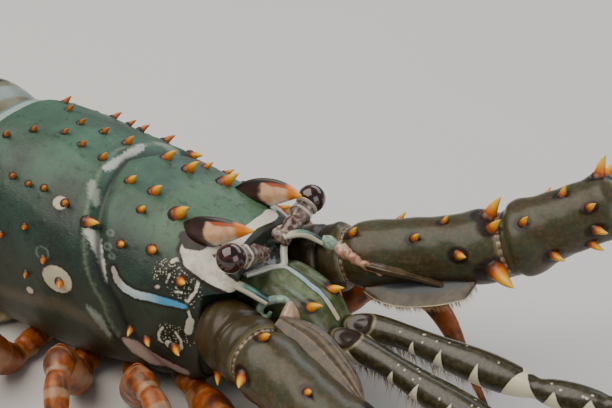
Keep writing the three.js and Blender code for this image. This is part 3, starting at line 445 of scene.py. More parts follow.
colour = layered(green, "#192a22", [
    ("#2f5141", clouds, 0.6, 0.38),
    ("#43705a", clouds, 0.72, 0.52, 0.5),
    # Painted light: the top of the shield is lighter green, and its fore part more so, as if lit from above
    ("#557a63", "down", 16, 56, 0.45, mottle, 20),
    ("#5f8062", "fore_top", 0.9, 0.3, 0.5, mottle, 0.5),
    ("#1d2b22", "down", 78, 50, 0.7, clouds, 40),
    ("#17241e", mottle, 0.3, 0.46, 0.55),
    ("#4a4a36", specks, 0.36, 0.46, 0.35),
    ("#2f3424", "down", 108, 76, 0.8, mottle, 24),
    ("#352c1b", "down", 130, 104, 0.9, mottle, 20),
    ("#7f8c74", behind_groove, 0.4, 4, 0.7, specks, 4),
    ("#8d9689", "groove_grey", 0.9, 3, 0.85, specks, 4),
    ("#c9ccc2", "groove_white", 1, 2.4, 0.95, specks, 3.4),
    # Painted shade: the sunken floor of the neck groove is darkened, as shade lies in it
    ("#121a15", from_groove, 0.2, 2.4, 0.85),
    ("#a9bcba", "rear", 5.2, 6.6, 0.85, mottle, 1.2),
    ("#5d7a70", "rear", 1.6, 2.8, 0.9),
    ("#6b5d48", "low_band", 0, 4.4, 0.5, specks, 5),
    ("#1f1a10", "lens", 0.8, 2.1, 1, mottle, 1),
    ("#a89287", "lens", 0, 1.3, 1, specks, 1.6),
    ("#2a1a0e", "patch_far", 0.8, 2.3, 0.8, mottle, 1),
    ("#5b6b5e", "ring_far", 0.3, 0.8, 0.85, mottle, 0.3),
    ("#1a170d", "dot_far", 0.4, 1.5, 0.9, mottle, 0.5),
    ("#c2bb9d", "dot_far", 0.3, 1, 1, specks, 1.2),
    ("#231d10", "grains", -1.5, 2.5, 0.85, mottle, 3),
    ("#b3b39a", granules, 0.34, 0.52, 0.95, mottle, 0.25),
    ("#1c170c", "white_line", 0.3, 0.9, 0.8),
    ("#d0cdb8", "white_line", 0.35, 0.8, 1, specks, 1.1),
    ("#1a160d", "blue_line", 0.7, 1.7, 0.9),
    (streak, "blue_line", 0.35, 0.9, 1, specks, 1.2),
    ("#1d0d06", "eye_band", 0.9, 2.2, 1),
    (cream, "eye_band", 0.3, 0.8, 1, specks, 1),
    # Painted shade under the horns, partly the dark colour of their roots
    ("#1f0d07", "horn_foot", 0.5, 1.1, 1, specks, 0.8),
    ("#262b20", "brow", 0.9, 0.4),
    ("#dcd6c6", "orbit", 2.4, 2.8, 1, mottle, 0.6),
    ("#dedacb", "margin", 0.3, 0.7, 1, mottle, 0.6)])
pebbles = pattern(green, "Voronoi", 0.8)
height = add_node(green, "Math", {0: mottle, 1: 1.4, 2: pebbles}, operation="MULTIPLY_ADD").outputs[0]
gloss = add_node(green, "MapRange", {"Value": mottle, "To Min": 0.36, "To Max": 0.55}).outputs[0]
finish(green, colour, height, 0.07, Roughness=gloss, IOR=1.45, Coat_Weight=0.06, Coat_Roughness=0.18)
piece("head_shield", [lofted(shell, **shell_marks)], green, "carapace", "carapace")

# Shield spines: hollow thorns of the shell itself, worn smooth. They turn from dark brown at the root through
# orange to a yellow point.
thorn = new_material("orange_thorn_cuticle")
mottle = pattern(thorn, "Noise", 1.2, Detail=3)
colour = layered(thorn, "#33200f", [
    ("#94420e", "tip", 0.16, 0.04, 1, mottle, 0.08),
    ("#d9780f", "tip", 0.34, 0.18, 1, mottle, 0.1),
    ("#f2b42c", "tip", 0.72, 0.36, 1, mottle, 0.2)])
bare = layered(thorn, "#2a2a1c", [("#b8621c", "tip", 0.4, 0.12, 1, mottle, 0.1)])
colour = add_node(thorn, "Mix", {0: "own", 6: bare, 7: colour}, data_type="RGBA").outputs[2]
finish(thorn, colour, mottle, 0.05, Roughness=0.4, IOR=1.45, Coat_Weight=0.15, Coat_Roughness=0.15)
rng = np.random.default_rng(7)
forms = []
for side in (-1, 1):
    for along, down, length in SHIELD_SPINES:
        root, out, forward = on_shield(along, side * down)
        grown = length * rng.uniform(0.9, 1.1)
        own = smooth(along + rng.uniform(-8, 8), -25, 10)
        forms.append(spine(root, out, forward, grown, grown * SPINE_SLIMNESS * 0.88, own=own))
piece("shield_spines", forms, thorn, "carapace")

# Horns over the eyes: solid blades of shell that lie along the brow and rise to a forward point. Their sides
# are bare and peach coloured over a dark root, and their upper edge is dark with a thin red line under it.
SIDES = (("r", -1), ("l", 1))  # the animal's right and left, and which way each lies from its middle
HORN_SIZES = [[0, 3, 5], [0.2, 3.4, 6], [0.45, 3.2, 5.4], [0.7, 2.4, 3.8], [0.9, 1.2, 1.7], [1, 0.3, 0.4]]


def arc(start, pull, end):
    """A curve from start to end that is pulled towards a third point, as a function of the share of its way."""
    start, pull, end = (np.array(place, float) for place in (start, pull, end))

    def path(share):
        share = np.asarray(share, float)[..., None]
        return start * (1 - share) ** 2 + pull * 2 * share * (1 - share) + end * share ** 2
    return path


def frame_on(path, share, up=(0, 0, 1)):
    """The direction along a path and the two square to it, the second of them the upper one."""
    along = unit(path(share + 1e-3) - path(share - 1e-3))
    across = unit(np.cross(along, up))
    return along, across, np.cross(across, along)


# Bare cuticle: waxy and hardly pigmented, so that light goes a little way in and the horn glows at its thin edges
peach = new_material("bare_peach_cuticle")
mottle = pattern(peach, "Noise", 2.5, Detail=4)
colour = layered(peach, "#dfb48c", [
    ("#cf9069", mottle, 0.66, 0.4, 0.7),
    ("#e2d6c0", "crest", -0.75, -0.2, 0.9, mottle, 0.3),
    # Painted highlight: grey at the horn's root, which shows through the dark root on its sides as a grey sheen
    ("#7d746c", "along", 0.26, 0.42, 1, mottle, 0.16),
    ("#331209", "root", 0.66, 0.4, 1, mottle, 0.3),
    ("#a8431a", "edge", 0.66, 0.5, 0.9, mottle, 0.1),
    ("#1d0c08", "crest", 0.84, 0.7),
    ("#df7a17", "along", 0.86, 0.76, 1, mottle, 0.08),
    ("#eeb23a", "along", 0.98, 0.86)])
finish(peach, colour, mottle, 0.06, Roughness=0.36, IOR=1.5, Coat_Weight=0.3, Coat_Roughness=0.12,
       Subsurface_Weight=0.15, Subsurface_Radius=(0.002, 0.001, 0.0006))
share = np.linspace(0, 1, 40)
turn = circle(36)
wide, high = (profile([[row[0], row[column]] for row in HORN_SIZES])(share)[:, None] for column in (1, 2))
for letter, side in SIDES:
    path = arc((33, side * 16, 65), (48, side * 18.5, 74), (61.1, side * 14.9, 75.4))
    _, across, over = frame_on(path, share)
    sideways, upwards = wide * np.cos(turn) * (1 - 0.45 * np.clip(np.sin(turn), 0, 1)), high * np.sin(turn)
    grid = path(share)[:, None] + sideways[..., None] * across[:, None] + upwards[..., None] * over[:, None]
    root = (1 - smooth(share, 0.26, 0.52))[:, None] * (0.52 + 0.48 * np.sin(turn)[None, :] ** 2)
    crest = np.sin(turn)[None, :] + 0.1 * (0.5 - share[:, None])
    edge = crest - 0.5 * (1 - smooth(share, 0.3, 0.55))[:, None]
    horn = lofted(grid, along=share[:, None], crest=crest, edge=edge, root=root)
    piece(f"brow_horn_{letter}", [horn], peach, "horn", f"horn_{letter}")

# Eyes: clear domes over a dark red-brown retina, each on a short ridged stalk of brown-grey skin that grows out
# of the brow and closes on the dome with a collar
EYE_RADIUS = 5.4
STALK_ROOT = np.array([58.4, 7, 61])
STALK_WALL = 54.5  # how far forward the brow is there
# Cornea: clear and almost mirror smooth, so the dark eye shows the lamps as sharp small lights. Its facets are
# drawn some five times as wide as real ones, which are too fine to show.
glossy = new_material("wet_eye_cornea")
mottle = pattern(glossy, "Noise", 1.5, Detail=2)
colour = layered(glossy, "#1d0705", [("#4a190e", mottle, 0.7, 0.4)])
facets = pattern(glossy, "Voronoi", 0.35)
finish(glossy, colour, facets, 0.004, Roughness=0.12, IOR=1.45, Coat_Weight=1, Coat_Roughness=0.03)
# Stalk skin: wet and ridged, with pale mottles, so its shine breaks up into short streaks
stalk_skin = new_material("ridged_stalk_skin")
mottle = pattern(stalk_skin, "Noise", 2, Detail=4)
colour = layered(stalk_skin, "#7c6b62", [
    ("#4a2418", mottle, 0.58, 0.46, 0.9),
    ("#b9aa94", mottle, 0.34, 0.42, 0.7),
    ("#d8d1bd", "ridge", 0.95, 0.5, 0.85, mottle, 0.5)])
finish(stalk_skin, colour, mottle, 0.1, Roughness=0.25, IOR=1.45, Coat_Weight=0.5, Coat_Roughness=0.08)
STALK_SIZES = [[0, 2.8], [0.25, 3.1], [0.44, 3.5], [0.5, 3.3], [0.62, 3.8], [0.74, 4.4], [0.8, 4.2], [1, 3.5]]


def line_through(points):
    """A smooth curve through points, as a function of the share of its way; two points give a straight line."""
    points = np.array(points, float)
    ends = np.vstack([2 * points[0] - points[1], points, 2 * points[-1] - points[-2]])
    spread = np.sqrt(np.linalg.norm(np.diff(ends, axis=0), axis=1))

    def path(share):
        walked = np.asarray(share, float) * (len(points) - 1)
        left = np.clip(np.floor(walked).astype(int), 0, len(points) - 2)
        t = (walked - left)[..., None]
        a, b, c, d = (ends[left + step] for step in range(4))
        ab, bc, cd = (spread[left + step][..., None] for step in range(3))
        into = ((b - a) / ab - (c - a) / (ab + bc) + (c - b) / bc) * bc
        onwards = ((c - b) / bc - (d - b) / (bc + cd) + (d - c) / cd) * bc
        return (b + into * t + (3 * (c - b) - 2 * into - onwards) * t ** 2
                + (2 * (b - c) + into + onwards) * t ** 3)
    return path


def limb(path, sizes, rings, sides, up=(0, 0, 1), cuts=(None, None), relief=None, low=0, high=1, sunk=2.5,
         **marks):
    """A jointed length along a path, with sizes as [share, half width, half height]. Its ends are rounded, drawn
    in, and slanted to lie in the planes where it meets its neighbours. relief(share, degrees) adds mm."""
    share = low + (high - low) * (0.5 - 0.5 * np.cos(np.linspace(0.12, np.pi - 0.12, rings)) / np.cos(0.12))
    column, turn = share[:, None], circle(sides)[None, :]
    extra = relief(column, np.degrees(turn)) if relief else 0
    wide, tall = (profile([[row[0], row[place]] for row in sizes])(column) + extra for place in (1, 2))
    along, across, over = frame_on(path, share, up)
    off = (wide * np.cos(turn))[..., None] * across[:, None] + (tall * np.sin(turn))[..., None] * over[:, None]
    near_ends = 1 - smooth(share, low, low + 0.25), smooth(share, high - 0.25, high)
    for cut, near, end in zip(cuts, near_ends, (0, -1)):
        if cut is not None:
            slant = -(off @ cut) / (along[end] @ cut)
            off = off + along[end] * (slant * near[:, None])[..., None]
    grid = path(share)[:, None] + off
    closing = [(0.45, sunk), (0.22, 0.5 * sunk), (0.08, 0.1)]  # rings of an end, as share drawn in and mm inwards
    first = [grid[0] - off[0] * drawn + along[0] * back for drawn, back in closing]
    last = [grid[-1] - off[-1] * drawn - along[-1] * back for drawn, back in reversed(closing)]

    def on_all(values):
        """The values of a mark on every ring, those of the closed ends too."""
        values = np.broadcast_to(values(column, np.degrees(turn)) if callable(values) else values, (rings, sides))
        return np.concatenate([np.repeat(values[:1], 3, 0), values, np.repeat(values[-1:], 3, 0)])

    found = {name: on_all(values) for name, values in marks.items()}
    return lofted(np.concatenate([first, grid, last]), along=on_all(column), **found)


def sleeve(start, end, sizes, rings, sides, sunk, **settings):
    """A short straight length between two places, with sizes as [share, half width] or a half height as well."""
    sizes = [[row[0], row[1], row[-1]] for row in sizes]
    return limb(line_through([start, end]), sizes, rings, sides, sunk=sunk, **settings)


for letter, side in SIDES:
    mirror = np.array([1, side, 1])
    centre, root = EYE * mirror, STALK_ROOT * mirror
    inwards = unit(root - centre)
    lean, spin = np.linspace(0.05, np.pi - 0.05, 36)[:, None], circle(56)
    around = np.stack([np.sin(lean) * np.cos(spin), np.sin(lean) * np.sin(spin), np.cos(lean) + 0 * spin], -1)
    piece(f"eye_dome_{letter}", [lofted(centre + around * EYE_RADIUS)], glossy, "eye", f"eye_{letter}")
    stalk = sleeve(root, centre + inwards * (EYE_RADIUS - 2), STALK_SIZES, 44, 32, 0.8,
                   relief=lambda share, turn: 0.22 * np.sin(np.radians(turn * 5)) * smooth(share, 0.2, 0.5),
                   ridge=lambda share, turn: np.exp(-((share - 0.76) / 0.04) ** 2))
    foot = sleeve((STALK_WALL, root[1], root[2]), root + [2.2, 0, 0], [[0, 2.8], [1, 2.9]], 16, 28, 0.6, ridge=0)
    collar = sleeve(centre + inwards * 4.5, centre + inwards * 3.3, [[0, 3.9], [0.5, 4.5], [1, 4.5]], 10, 40, 0.2,
                    ridge=0.5)
    piece(f"eye_stalk_{letter}", [stalk, foot, collar], stalk_skin, "eyestalk", f"eyestalk_{letter}")

# Brow skin: the soft hollow between the brow's margin and the plate, out of which the stalks come, with a raised
# pale rib of shell round its front. It never dries, so it is dark and shines like wet glass.
brow_skin = new_material("wet_brow_skin")
mottle = pattern(brow_skin, "Noise", 2.5, Detail=4)
colour = layered(brow_skin, "#1d1f1b", [
    ("#4d5a58", mottle, 0.68, 0.44),
    ("#c8c6b8", "rib_far", 0.1, 0.6, 1, mottle, 0.6)])
finish(brow_skin, colour, mottle, 0.25, Roughness=0.16, IOR=1.45, Coat_Weight=0.8, Coat_Roughness=0.05)
BROW_LINE = line_through([(50.5, -13, 62.5), (51, -6, 64.2), (51.2, 4, 64.6), (50.8, 13, 63)])
FRONT_LINE = line_through([(53.4, -10, 51.4), (57.9, -2, 51.8), (61.8, 1.8, 52.4), (59.8, 5.2, 56),
                           (57.6, 8.6, 59.4)])
RIB_SIZES = [[0, 1.2, 1], [0.2, 1.5, 1.3], [0.6, 1.4, 1.2], [1, 1.5, 1.3]]
down, across = np.linspace(0, 1, 40), np.linspace(0, 1, 70)
top, bottom = BROW_LINE(across), FRONT_LINE(across)
sheet = top[:, None] + (bottom - top)[:, None] * down[None, :, None]
sheet[..., 2] -= 1.6 * np.sin(np.pi * down)[None, :] * np.sin(np.pi * across)[:, None]
sheet += (0.25 * waves(sheet, 5, 15))[..., None] * [0.5, 0, 0.8]
below = sheet[:, ::-1] - [3.2, 0, 1.2]
rib_line = np.vstack([FRONT_LINE(np.linspace(0, 1, 12)), [(54.6, 10, 62.8)]])
pair = np.concatenate([sheet, below], 1)
hollow = lofted(pair, rib_far=reach(pair, rib_line, 1.1))
rib = limb(line_through(rib_line + [0, 0, 0.2]), RIB_SIZES, 60, 20, sunk=0.4, rib_far=-0.4)
piece("brow_hollow_skin", [hollow, rib], brow_skin, "carapace")

# Antennular plate: the shell wedge between the feelers, drawn out to a point in front, with a pair of strong
# spines. Raised pale ribs cross it from the eyes and run down its middle.
PLATE_REAR, PLATE_FRONT = 48.3, 87.4
PLATE_TOP = profile([[PLATE_REAR, 50], [56, 51.4], [64, 52.4], [74, 50], [82, 46], [PLATE_FRONT, 39]])
PLATE_FOOT = profile([[PLATE_REAR, 35], [64, 34.5], [80, 33], [PLATE_FRONT, 31.5]])
PLATE_HALF = profile([[PLATE_REAR, 11], [60, 13.5], [74, 12.5], [82, 10.8], [PLATE_FRONT, 8.2]])
PLATE_SPINE_ROOTS = [np.array([79, side * 7, 45.5]) for side in (-1, 1)]
PLATE_SPINE_LENGTH, PLATE_SPINE_RADIUS, PLATE_SPINE_LEAN = 7.2, 2.72, 1.6
RIBS = [([(50.5, -3, 50.4), (57.9, -0.9, 51.8), (61.8, 1, 52.3)], 0.9), ([(53, 6, 51), (62.5, 2.1, 52.4)], 0.8),
        ([(61.8, 1.6, 52.4), (70, 0.8, 51.6), (77.2, 0, 48.9), (82.6, 0.1, 45.4), (87, 0.4, 40)], 0.9)]


def squared(value, power):
    """A sine or cosine drawn towards its ends, which turns a round section into a squarer one."""
    return np.sign(value) * np.abs(value) ** power


share, turn = np.meshgrid(np.linspace(0, 1, 90), circle(96), indexing="ij")
x = PLATE_REAR + (PLATE_FRONT - PLATE_REAR) * share
height = PLATE_FOOT(x) + (PLATE_TOP(x) - PLATE_FOOT(x)) * (0.5 + squared(np.sin(turn), 0.75) / 2)
plate = np.stack([x, PLATE_HALF(x) * squared(np.cos(turn), 0.75), height], -1)
rib_far = np.min([reach(plate, line, half) for line, half in RIBS], axis=0)
trough = 1.1 * np.exp(-((np.abs(plate[..., 1]) - 5) / 2.4) ** 2) * smooth(x, 60, 66) * smooth(-x, -86, -78)
ribs = 0.8 * np.exp(-(np.clip(rib_far + 0.9, 0, 9) / 1.1) ** 2)
plate[..., 2] += smooth(plate[..., 2], 44, 49) * (ribs - trough + 0.25 * waves(plate, 8, 6))

# Plate cuticle: grainy and speckled with brown, so it looks duller than its smooth pale ribs
sheath = new_material("speckled_plate_cuticle")
mottle = pattern(sheath, "Noise", 1.6, Detail=5, Roughness=0.65)
clouds = pattern(sheath, "Noise", 7, Detail=3)
rib_blue = layered(sheath, "#d3c9a6", [("#8fb3c4", "ahead", 80, 84), ("#c4cfca", "ahead", 64, 73)])
colour = layered(sheath, "#4a5738", [
    ("#6c7d5a", clouds, 0.62, 0.4),
    ("#66552a", mottle, 0.66, 0.5, 0.8),
    ("#1f1c12", "rib_far", 0.5, 1.3, 0.6, mottle, 0.5),
    (rib_blue, "rib_far", 0.3, 0.65, 1, mottle, 0.6),
    ("#2a120a", "spine_root", 3.6, 5, 0.9, mottle, 1.5)])
finish(sheath, colour, mottle, 0.14, Roughness=0.36, IOR=1.45, Coat_Weight=0.25, Coat_Roughness=0.12)
spine_root = np.min([np.linalg.norm(plate - root, axis=-1) for root in PLATE_SPINE_ROOTS], axis=0)
piece("antennule_plate_shell", [lofted(plate, rib_far=rib_far, ahead=x, spine_root=spine_root)], sheath,
      "carapace", "antennular_plate")
thorns = [spine(root - [0, 0, 0.8], np.array([0, 0, 1.0]), np.array([1.0, 0, 0]),
                PLATE_SPINE_LENGTH, PLATE_SPINE_RADIUS, PLATE_SPINE_LEAN) for root in PLATE_SPINE_ROOTS]
piece("plate_spines", thorns, thorn, "carapace")

# Brow bars: raised bars of shell that run from each eye's bowl down beside the plate, where they end in a curl.
# They turn from cream through green to a dark teal, with an orange line on top and a cream one below.
# Bar cuticle: smooth and deeply coloured, with a satin shine that runs along the bar
bar_shell = new_material("teal_bar_cuticle")
mottle = pattern(bar_shell, "Noise", 1.5, Detail=4)
colour = layered(bar_shell, "#12484c", [
    ("#5e9079", "along", 0.5, 0.8, 1, mottle, 0.1),
    ("#cfc8ae", "along", 0.16, 0.4, 1, mottle, 0.1),
    ("#d9cfb4", "lower", 0.86, 0.72),
    ("#a5521f", "upper", 0.86, 0.72)])
finish(bar_shell, colour, mottle, 0.08, Roughness=0.32, IOR=1.45, Coat_Weight=0.3, Coat_Roughness=0.1)
# Curl cuticle: the same shell with pale green pigment, so the curls read as light loops
curl_shell = new_material("pale_curl_cuticle")
mottle = pattern(curl_shell, "Noise", 2, Detail=4)
colour = layered(curl_shell, "#9fb39c", [("#5f8878", mottle, 0.62, 0.42, 0.8)])
finish(curl_shell, colour, mottle, 0.08, Roughness=0.32, IOR=1.45, Coat_Weight=0.3, Coat_Roughness=0.1)
# Each as (points in mm, [share of the way, half width, half height]); the raised left feeler lifts its own
BARS = {"r": ([(56.6, -21.4, 55.4), (60.3, -19.6, 53.6), (64, -17.6, 50.9), (67.2, -16, 48.6)],
              [[0, 2.2, 1.4], [0.4, 2.3, 1.6], [1, 1.9, 1.4]]),
        "l": ([(59.4, 5, 62.4), (62.8, 10.8, 62.2), (65, 16.2, 58.6), (67.6, 19.2, 55.8)],
              [[0, 1.3, 1.1], [0.4, 1.9, 1.5], [1, 1.7, 1.3]])}
CURLS = {"r": ([(74.4, -12.4, 48.4), (72.6, -12.8, 49.6), (69.3, -14, 49.2), (66, -15.6, 47.6), (64.4, -16.7, 44.6),
                (65.4, -17, 42.4), (67.6, -16.6, 42.6), (68.6, -15.8, 44.6)],
               [[0, 1, 1], [0.2, 1.7, 1.4], [0.7, 1.3, 1.2], [1, 0.7, 0.7]]),
         "l": ([(67, 19.4, 56.6), (69.6, 20.6, 55.6), (72, 21.2, 54.2)],
               [[0, 1.8, 1.8], [0.5, 2.9, 2.6], [1, 2.2, 2]])}
for letter in "rl":
    line, sizes = BARS[letter]
    bar = limb(line_through(line), sizes, 50, 40, sunk=0.6, lower=lambda share, turn: np.cos(np.radians(turn)),
               upper=lambda share, turn: -np.cos(np.radians(turn)) * smooth(share, 0.3, 0.5))
    piece(f"brow_bar_{letter}", [bar], bar_shell, "carapace")
    line, sizes = CURLS[letter]
    piece(f"brow_curl_{letter}", [limb(line_through(line), sizes, 80, 24, sunk=0.4)], curl_shell, "carapace")


# Feelers: three thick lengths of shell each, which turn on one another, with forward spines. Soft pleated skin
# closes the joints, a hairy plate stands along the middle length, and a long ringed whip ends each feeler.
BASE_SIZES = [[0, 8.5, 9], [0.2, 11.5, 11.8], [0.45, 13, 12.8], [0.75, 12.8, 12.8], [0.92, 12.6, 12.6],
              [1, 10.6, 10.6]]
MIDDLE_SIZES = [[0, 10.2, 10.2], [0.05, 11.8, 11.8], [0.3, 12.4, 12.4], [0.65, 12.6, 12.4], [0.92, 13.4, 13],
                [1, 11.4, 11.2]]
OUTER_SIZES = [[0, 11, 10.8], [0.07, 13.2, 12.8], [0.4, 12.6, 12.2], [0.75, 12, 11.6], [0.93, 11.4, 11], [1, 8, 8]]
# Spines of a length as [share of the way along it, degrees round it, length], as they stand on the right feeler
BASE_SPINES = [[0.6, -45, 5], [0.85, 215, 6]]
FEELER_ROUND = 12.5  # the lengths' mean half width, by which degrees round them become mm
FRINGE = [[0.1, 2], [0.25, 7.5], [0.5, 9.5], [0.68, 8.5], [0.76, 6.5], [0.82, 1.5]]
WHIP = profile([[0, 6.4], [0.03, 5.6], [0.1, 3.8], [0.3, 2.6], [0.6, 1.7], [1, 0.5]])
FEELERS = {
    "r": {"joints": [(48.15, -24, 37), (74, -32, 37), (129, -48.5, 29), (170, -66, 36)],
          "whip": [(215, -95, 50), (240, -150, 64), (215, -212, 72), (140, -252, 70),
                   (40, -268, 62), (-70, -258, 50)],
          "middle": [[0.07, 84, 6], [0.14, 12, 7], [0.57, 66, 5], [0.6, -20, 4], [0.96, 60, 10], [0.96, 130, 11],
                     [0.97, 10, 8], [0.97, -60, 8]],
          "outer": [[0.3, 80, 5], [0.55, 130, 5], [0.6, 30, 4], [0.9, 60, 7], [0.92, 140, 7]]},
    "l": {"joints": [(48.15, 24, 39), (74, 29, 47), (130, 45, 63), (165, 62, 85)],
          "whip": [(205, 92, 106), (238, 150, 118), (218, 212, 118), (145, 255, 104),
                   (45, 272, 84), (-65, 262, 62)],
          "middle": [[0.08, 111, 5], [0.3, 40, 5], [0.49, 129, 5], [0.66, 99, 4], [0.77, 162, 6], [0.94, 90, 9],
                     [0.97, 120, 7], [0.97, 198, 12], [0.97, 20, 8], [0.97, -50, 8]],
          "outer": [[0.26, 129, 5], [0.37, 201, 6], [0.4, 30, 5], [0.61, 102, 5], [0.67, 213, 6], [0.77, 186, 6],
                    [0.79, 144, 5], [0.9, 20, 8], [0.92, 80, 8]]}}

# Olive cuticle: thicker and plainer than the head shield's, grey-green above and brown below, with small pale
# pocks. The rims of each length are drawn with a yellow-green line.
olive = new_material("olive_feeler_cuticle")
clouds = pattern(olive, "Noise", 11, Detail=4)
mottle = pattern(olive, "Noise", 1.8, Detail=5, Roughness=0.6)
pocks = pattern(olive, "Voronoi", 3.2)
colour = layered(olive, "#3f361f", [
    ("#3a402c", clouds, 0.6, 0.42),
    ("#5b4b31", mottle, 0.66, 0.42, 0.6),
    ("#3b2e15", "basal", 0.9, 0.3, 0.85, mottle, 0.2),
    ("#3f2814", "top", -0.5, 0.1, 0.85, mottle, 0.5),
    ("#7d7b66", pocks, 0.05, 0.12, 0.4),
    ("#6f6a40", "rim", 0.9, 0.5, 0.6, mottle, 0.3),
    ("#a89e86", "rim", 1.0, 0.85, 0.8),
    ("#20130b", "socket", 0.85, 1.15, 0.95)])
finish(olive, colour, mottle, 0.09, Roughness=0.36, IOR=1.4, Coat_Weight=0.12, Coat_Roughness=0.08)

# Joint skin: unhardened cuticle between the lengths, wet and see-through at its edges, that folds in fine pleats
pleated = new_material("pleated_joint_skin")
mottle = pattern(pleated, "Noise", 2.2, Detail=4)
colour = layered(pleated, "#79604a", [
    ("#9a8268", mottle, 0.66, 0.4),
    # Painted shade and highlight: the pleats' hollows are darker and their crests a little paler, following their
    # relief
    ("#4c3626", "pleat", -0.9, 0.1, 0.7),
    ("#c4b290", "pleat", 1.3, 0.9, 0.7)])
finish(pleated, colour, mottle, 0.15, Roughness=0.3, IOR=1.42, Coat_Weight=0.5, Coat_Roughness=0.08,
       Subsurface_Weight=0.15, Subsurface_Radius=(0.002, 0.001, 0.0006))

# Hairy plate: thin stiff cuticle, brown with a slate middle and a cream edge, satin where it bends
flap_skin = new_material("thin_flap_cuticle")
mottle = pattern(flap_skin, "Noise", 3, Detail=4)
colour = layered(flap_skin, "#55462e", [
    ("#3f3222", mottle, 0.62, 0.44),
    ("#2d353c", "slate", 0.7, 0.3, 0.9, mottle, 0.4),
    ("#c9b896", "edge", 0.35, 0.75, 1, mottle, 0.3)])
finish(flap_skin, colour, mottle, 0.1, Roughness=0.36, IOR=1.42, Coat_Weight=0.3, Coat_Roughness=0.12)

# Rasping pads: smooth wet pinkish flesh where the feelers rub along the plate
pad_skin = new_material("pink_pad_skin")
mottle = pattern(pad_skin, "Noise", 2.4, Detail=4)
colour = layered(pad_skin, "#bb8b70", [
    ("#7c5038", mottle, 0.62, 0.44, 0.8),
    ("#d9b9a2", "crown", 0.9, 0.6, 0.6, mottle, 0.2)])
finish(pad_skin, colour, mottle, 0.12, Roughness=0.22, IOR=1.42, Coat_Weight=0.7, Coat_Roughness=0.06,
       Subsurface_Weight=0.2, Subsurface_Radius=(0.002, 0.001, 0.0006))

# Whip cuticle: hundreds of short dark red-brown rings, drawn about half as many as real so that they show, each
# with a paler front edge that makes the whip look finely banded
ringed = new_material("ringed_whip_cuticle")
mottle = pattern(ringed, "Noise", 4, Detail=3)
colour = layered(ringed, "#3f120d", [
    ("#5e2415", mottle, 0.62, 0.42),
    ("#8a4a2c", "ring", 0.95, 0.6, 0.8),
    ("#9a5230", "band", 0.75, 0.5, 0.6)])
finish(ringed, colour, mottle, 0.05, Roughness=0.38, IOR=1.5, Coat_Weight=0.2, Coat_Roughness=0.15)

# Hair: chitin bristles, half matt and golden, drawn three or four times as thick as real ones so that they show
bristle = new_material("golden_bristle_chitin")
mottle = pattern(bristle, "Noise", 5, Detail=2)
colour = layered(bristle, "#6b5130", [("#a98a57", "tip", 1, 0.2, 1, mottle, 0.3)])
finish(bristle, colour, mottle, 0.02, Roughness=0.5, IOR=1.5)


def bristles(roots, ways, lengths, rng, half=0.09):
    """Curved three-sided hairs from places, each along its own way."""
    forms = []
    for root, way, length in zip(roots, ways, lengths):
        way = unit(way + rng.normal(size=3) * 0.12)
        sag = unit(np.cross(way, rng.normal(size=3))) * length * rng.uniform(0.02, 0.16)
        share = np.array([0, 0.4, 0.75, 1])[:, None]
        middle = root + way * length * share + sag * share ** 2
        across = unit(np.cross(way, [0.3, 0.2, 1.0]))
        turn = circle(3)[:, None]
        ring = np.cos(turn) * across + np.sin(turn) * np.cross(way, across)
        grid = middle[:, None] + (half * (1.05 - share))[..., None] * ring
        forms.append(lofted(grid, tip=share))
    return forms


def side_of(path, sizes, share, degrees):
    """A place on a length's side, with the directions out of it and along it."""
    along, across, over = (direction[0] for direction in frame_on(path, np.array([share])))
    angle = np.radians(degrees)
    wide, tall = (profile([[row[0], row[place]] for row in sizes])(share) for place in (1, 2))
    root = path(np.array([share]))[0] + across * wide * np.cos(angle) + over * tall * np.sin(angle)
    return root, across * np.cos(angle) + over * np.sin(angle), along


def bend(before, joint, after):
    """The plane where two lengths meet, square to the middle of their bend."""
    before, joint, after = (np.array(place, float) for place in (before, joint, after))
    return unit(unit(joint - before) + unit(after - joint))


def tube(path, share, thick, sides, **marks):
    """A round whip along a path, with its own thickness at each share of the way."""
    _, across, over = frame_on(path, np.clip(share, 1e-3, 1 - 1e-3))
    turn = circle(sides)[None, :, None]
    loops = (np.cos(turn) * across[:, None] + np.sin(turn) * over[:, None]) * thick[:, None, None]
    return lofted(path(share)[:, None] + loops, **marks)


PLEATS = 26  # round a joint skin
# Joint skins as (joint, radius, how far they reach to each side of it)
SKINS = [(1, 10.9, 1.3), (2, 11.8, 2.3), (3, 8.2, 1.2)]
# Pads as (points in mm, sizes, the way its height lies); the raised left feeler shows its own as a knobbly roll
PADS = {"r": ([(76.4, -16.6, 37), (76.6, -15.6, 44), (75.9, -14.2, 50.6)],
              [[0, 6.4, 4], [0.4, 5.8, 3.6], [0.8, 3.2, 2.4], [1, 1.1, 1]], (1, 0, 0)),
        "l": ([(71.4, 21.4, 54.6), (77, 20.8, 54), (84, 20.2, 52.6), (93, 20.4, 50.2)],
              [[0, 1.4, 1.4], [0.2, 2.5, 2.4], [0.7, 2.2, 2], [1, 0.9, 0.9]], (0, 0, 1))}
FOLDS = {"r": [(76, -21.5, 46.5), (90, -22, 43.5), (104, -26, 40), (119, -32.5, 35.5)],
         "l": [(80, 22.5, 50), (92, 24.5, 50.5), (106, 29.5, 48.5), (121, 33, 44.6)]}
FOLD_SIZES = [[0, 3, 1.6], [0.25, 6, 2.4], [0.6, 5.4, 2], [0.85, 3.4, 1.4], [1, 0.5, 0.5]]
FLAP_STATIONS, FLAP_HAIRS = 60, 260
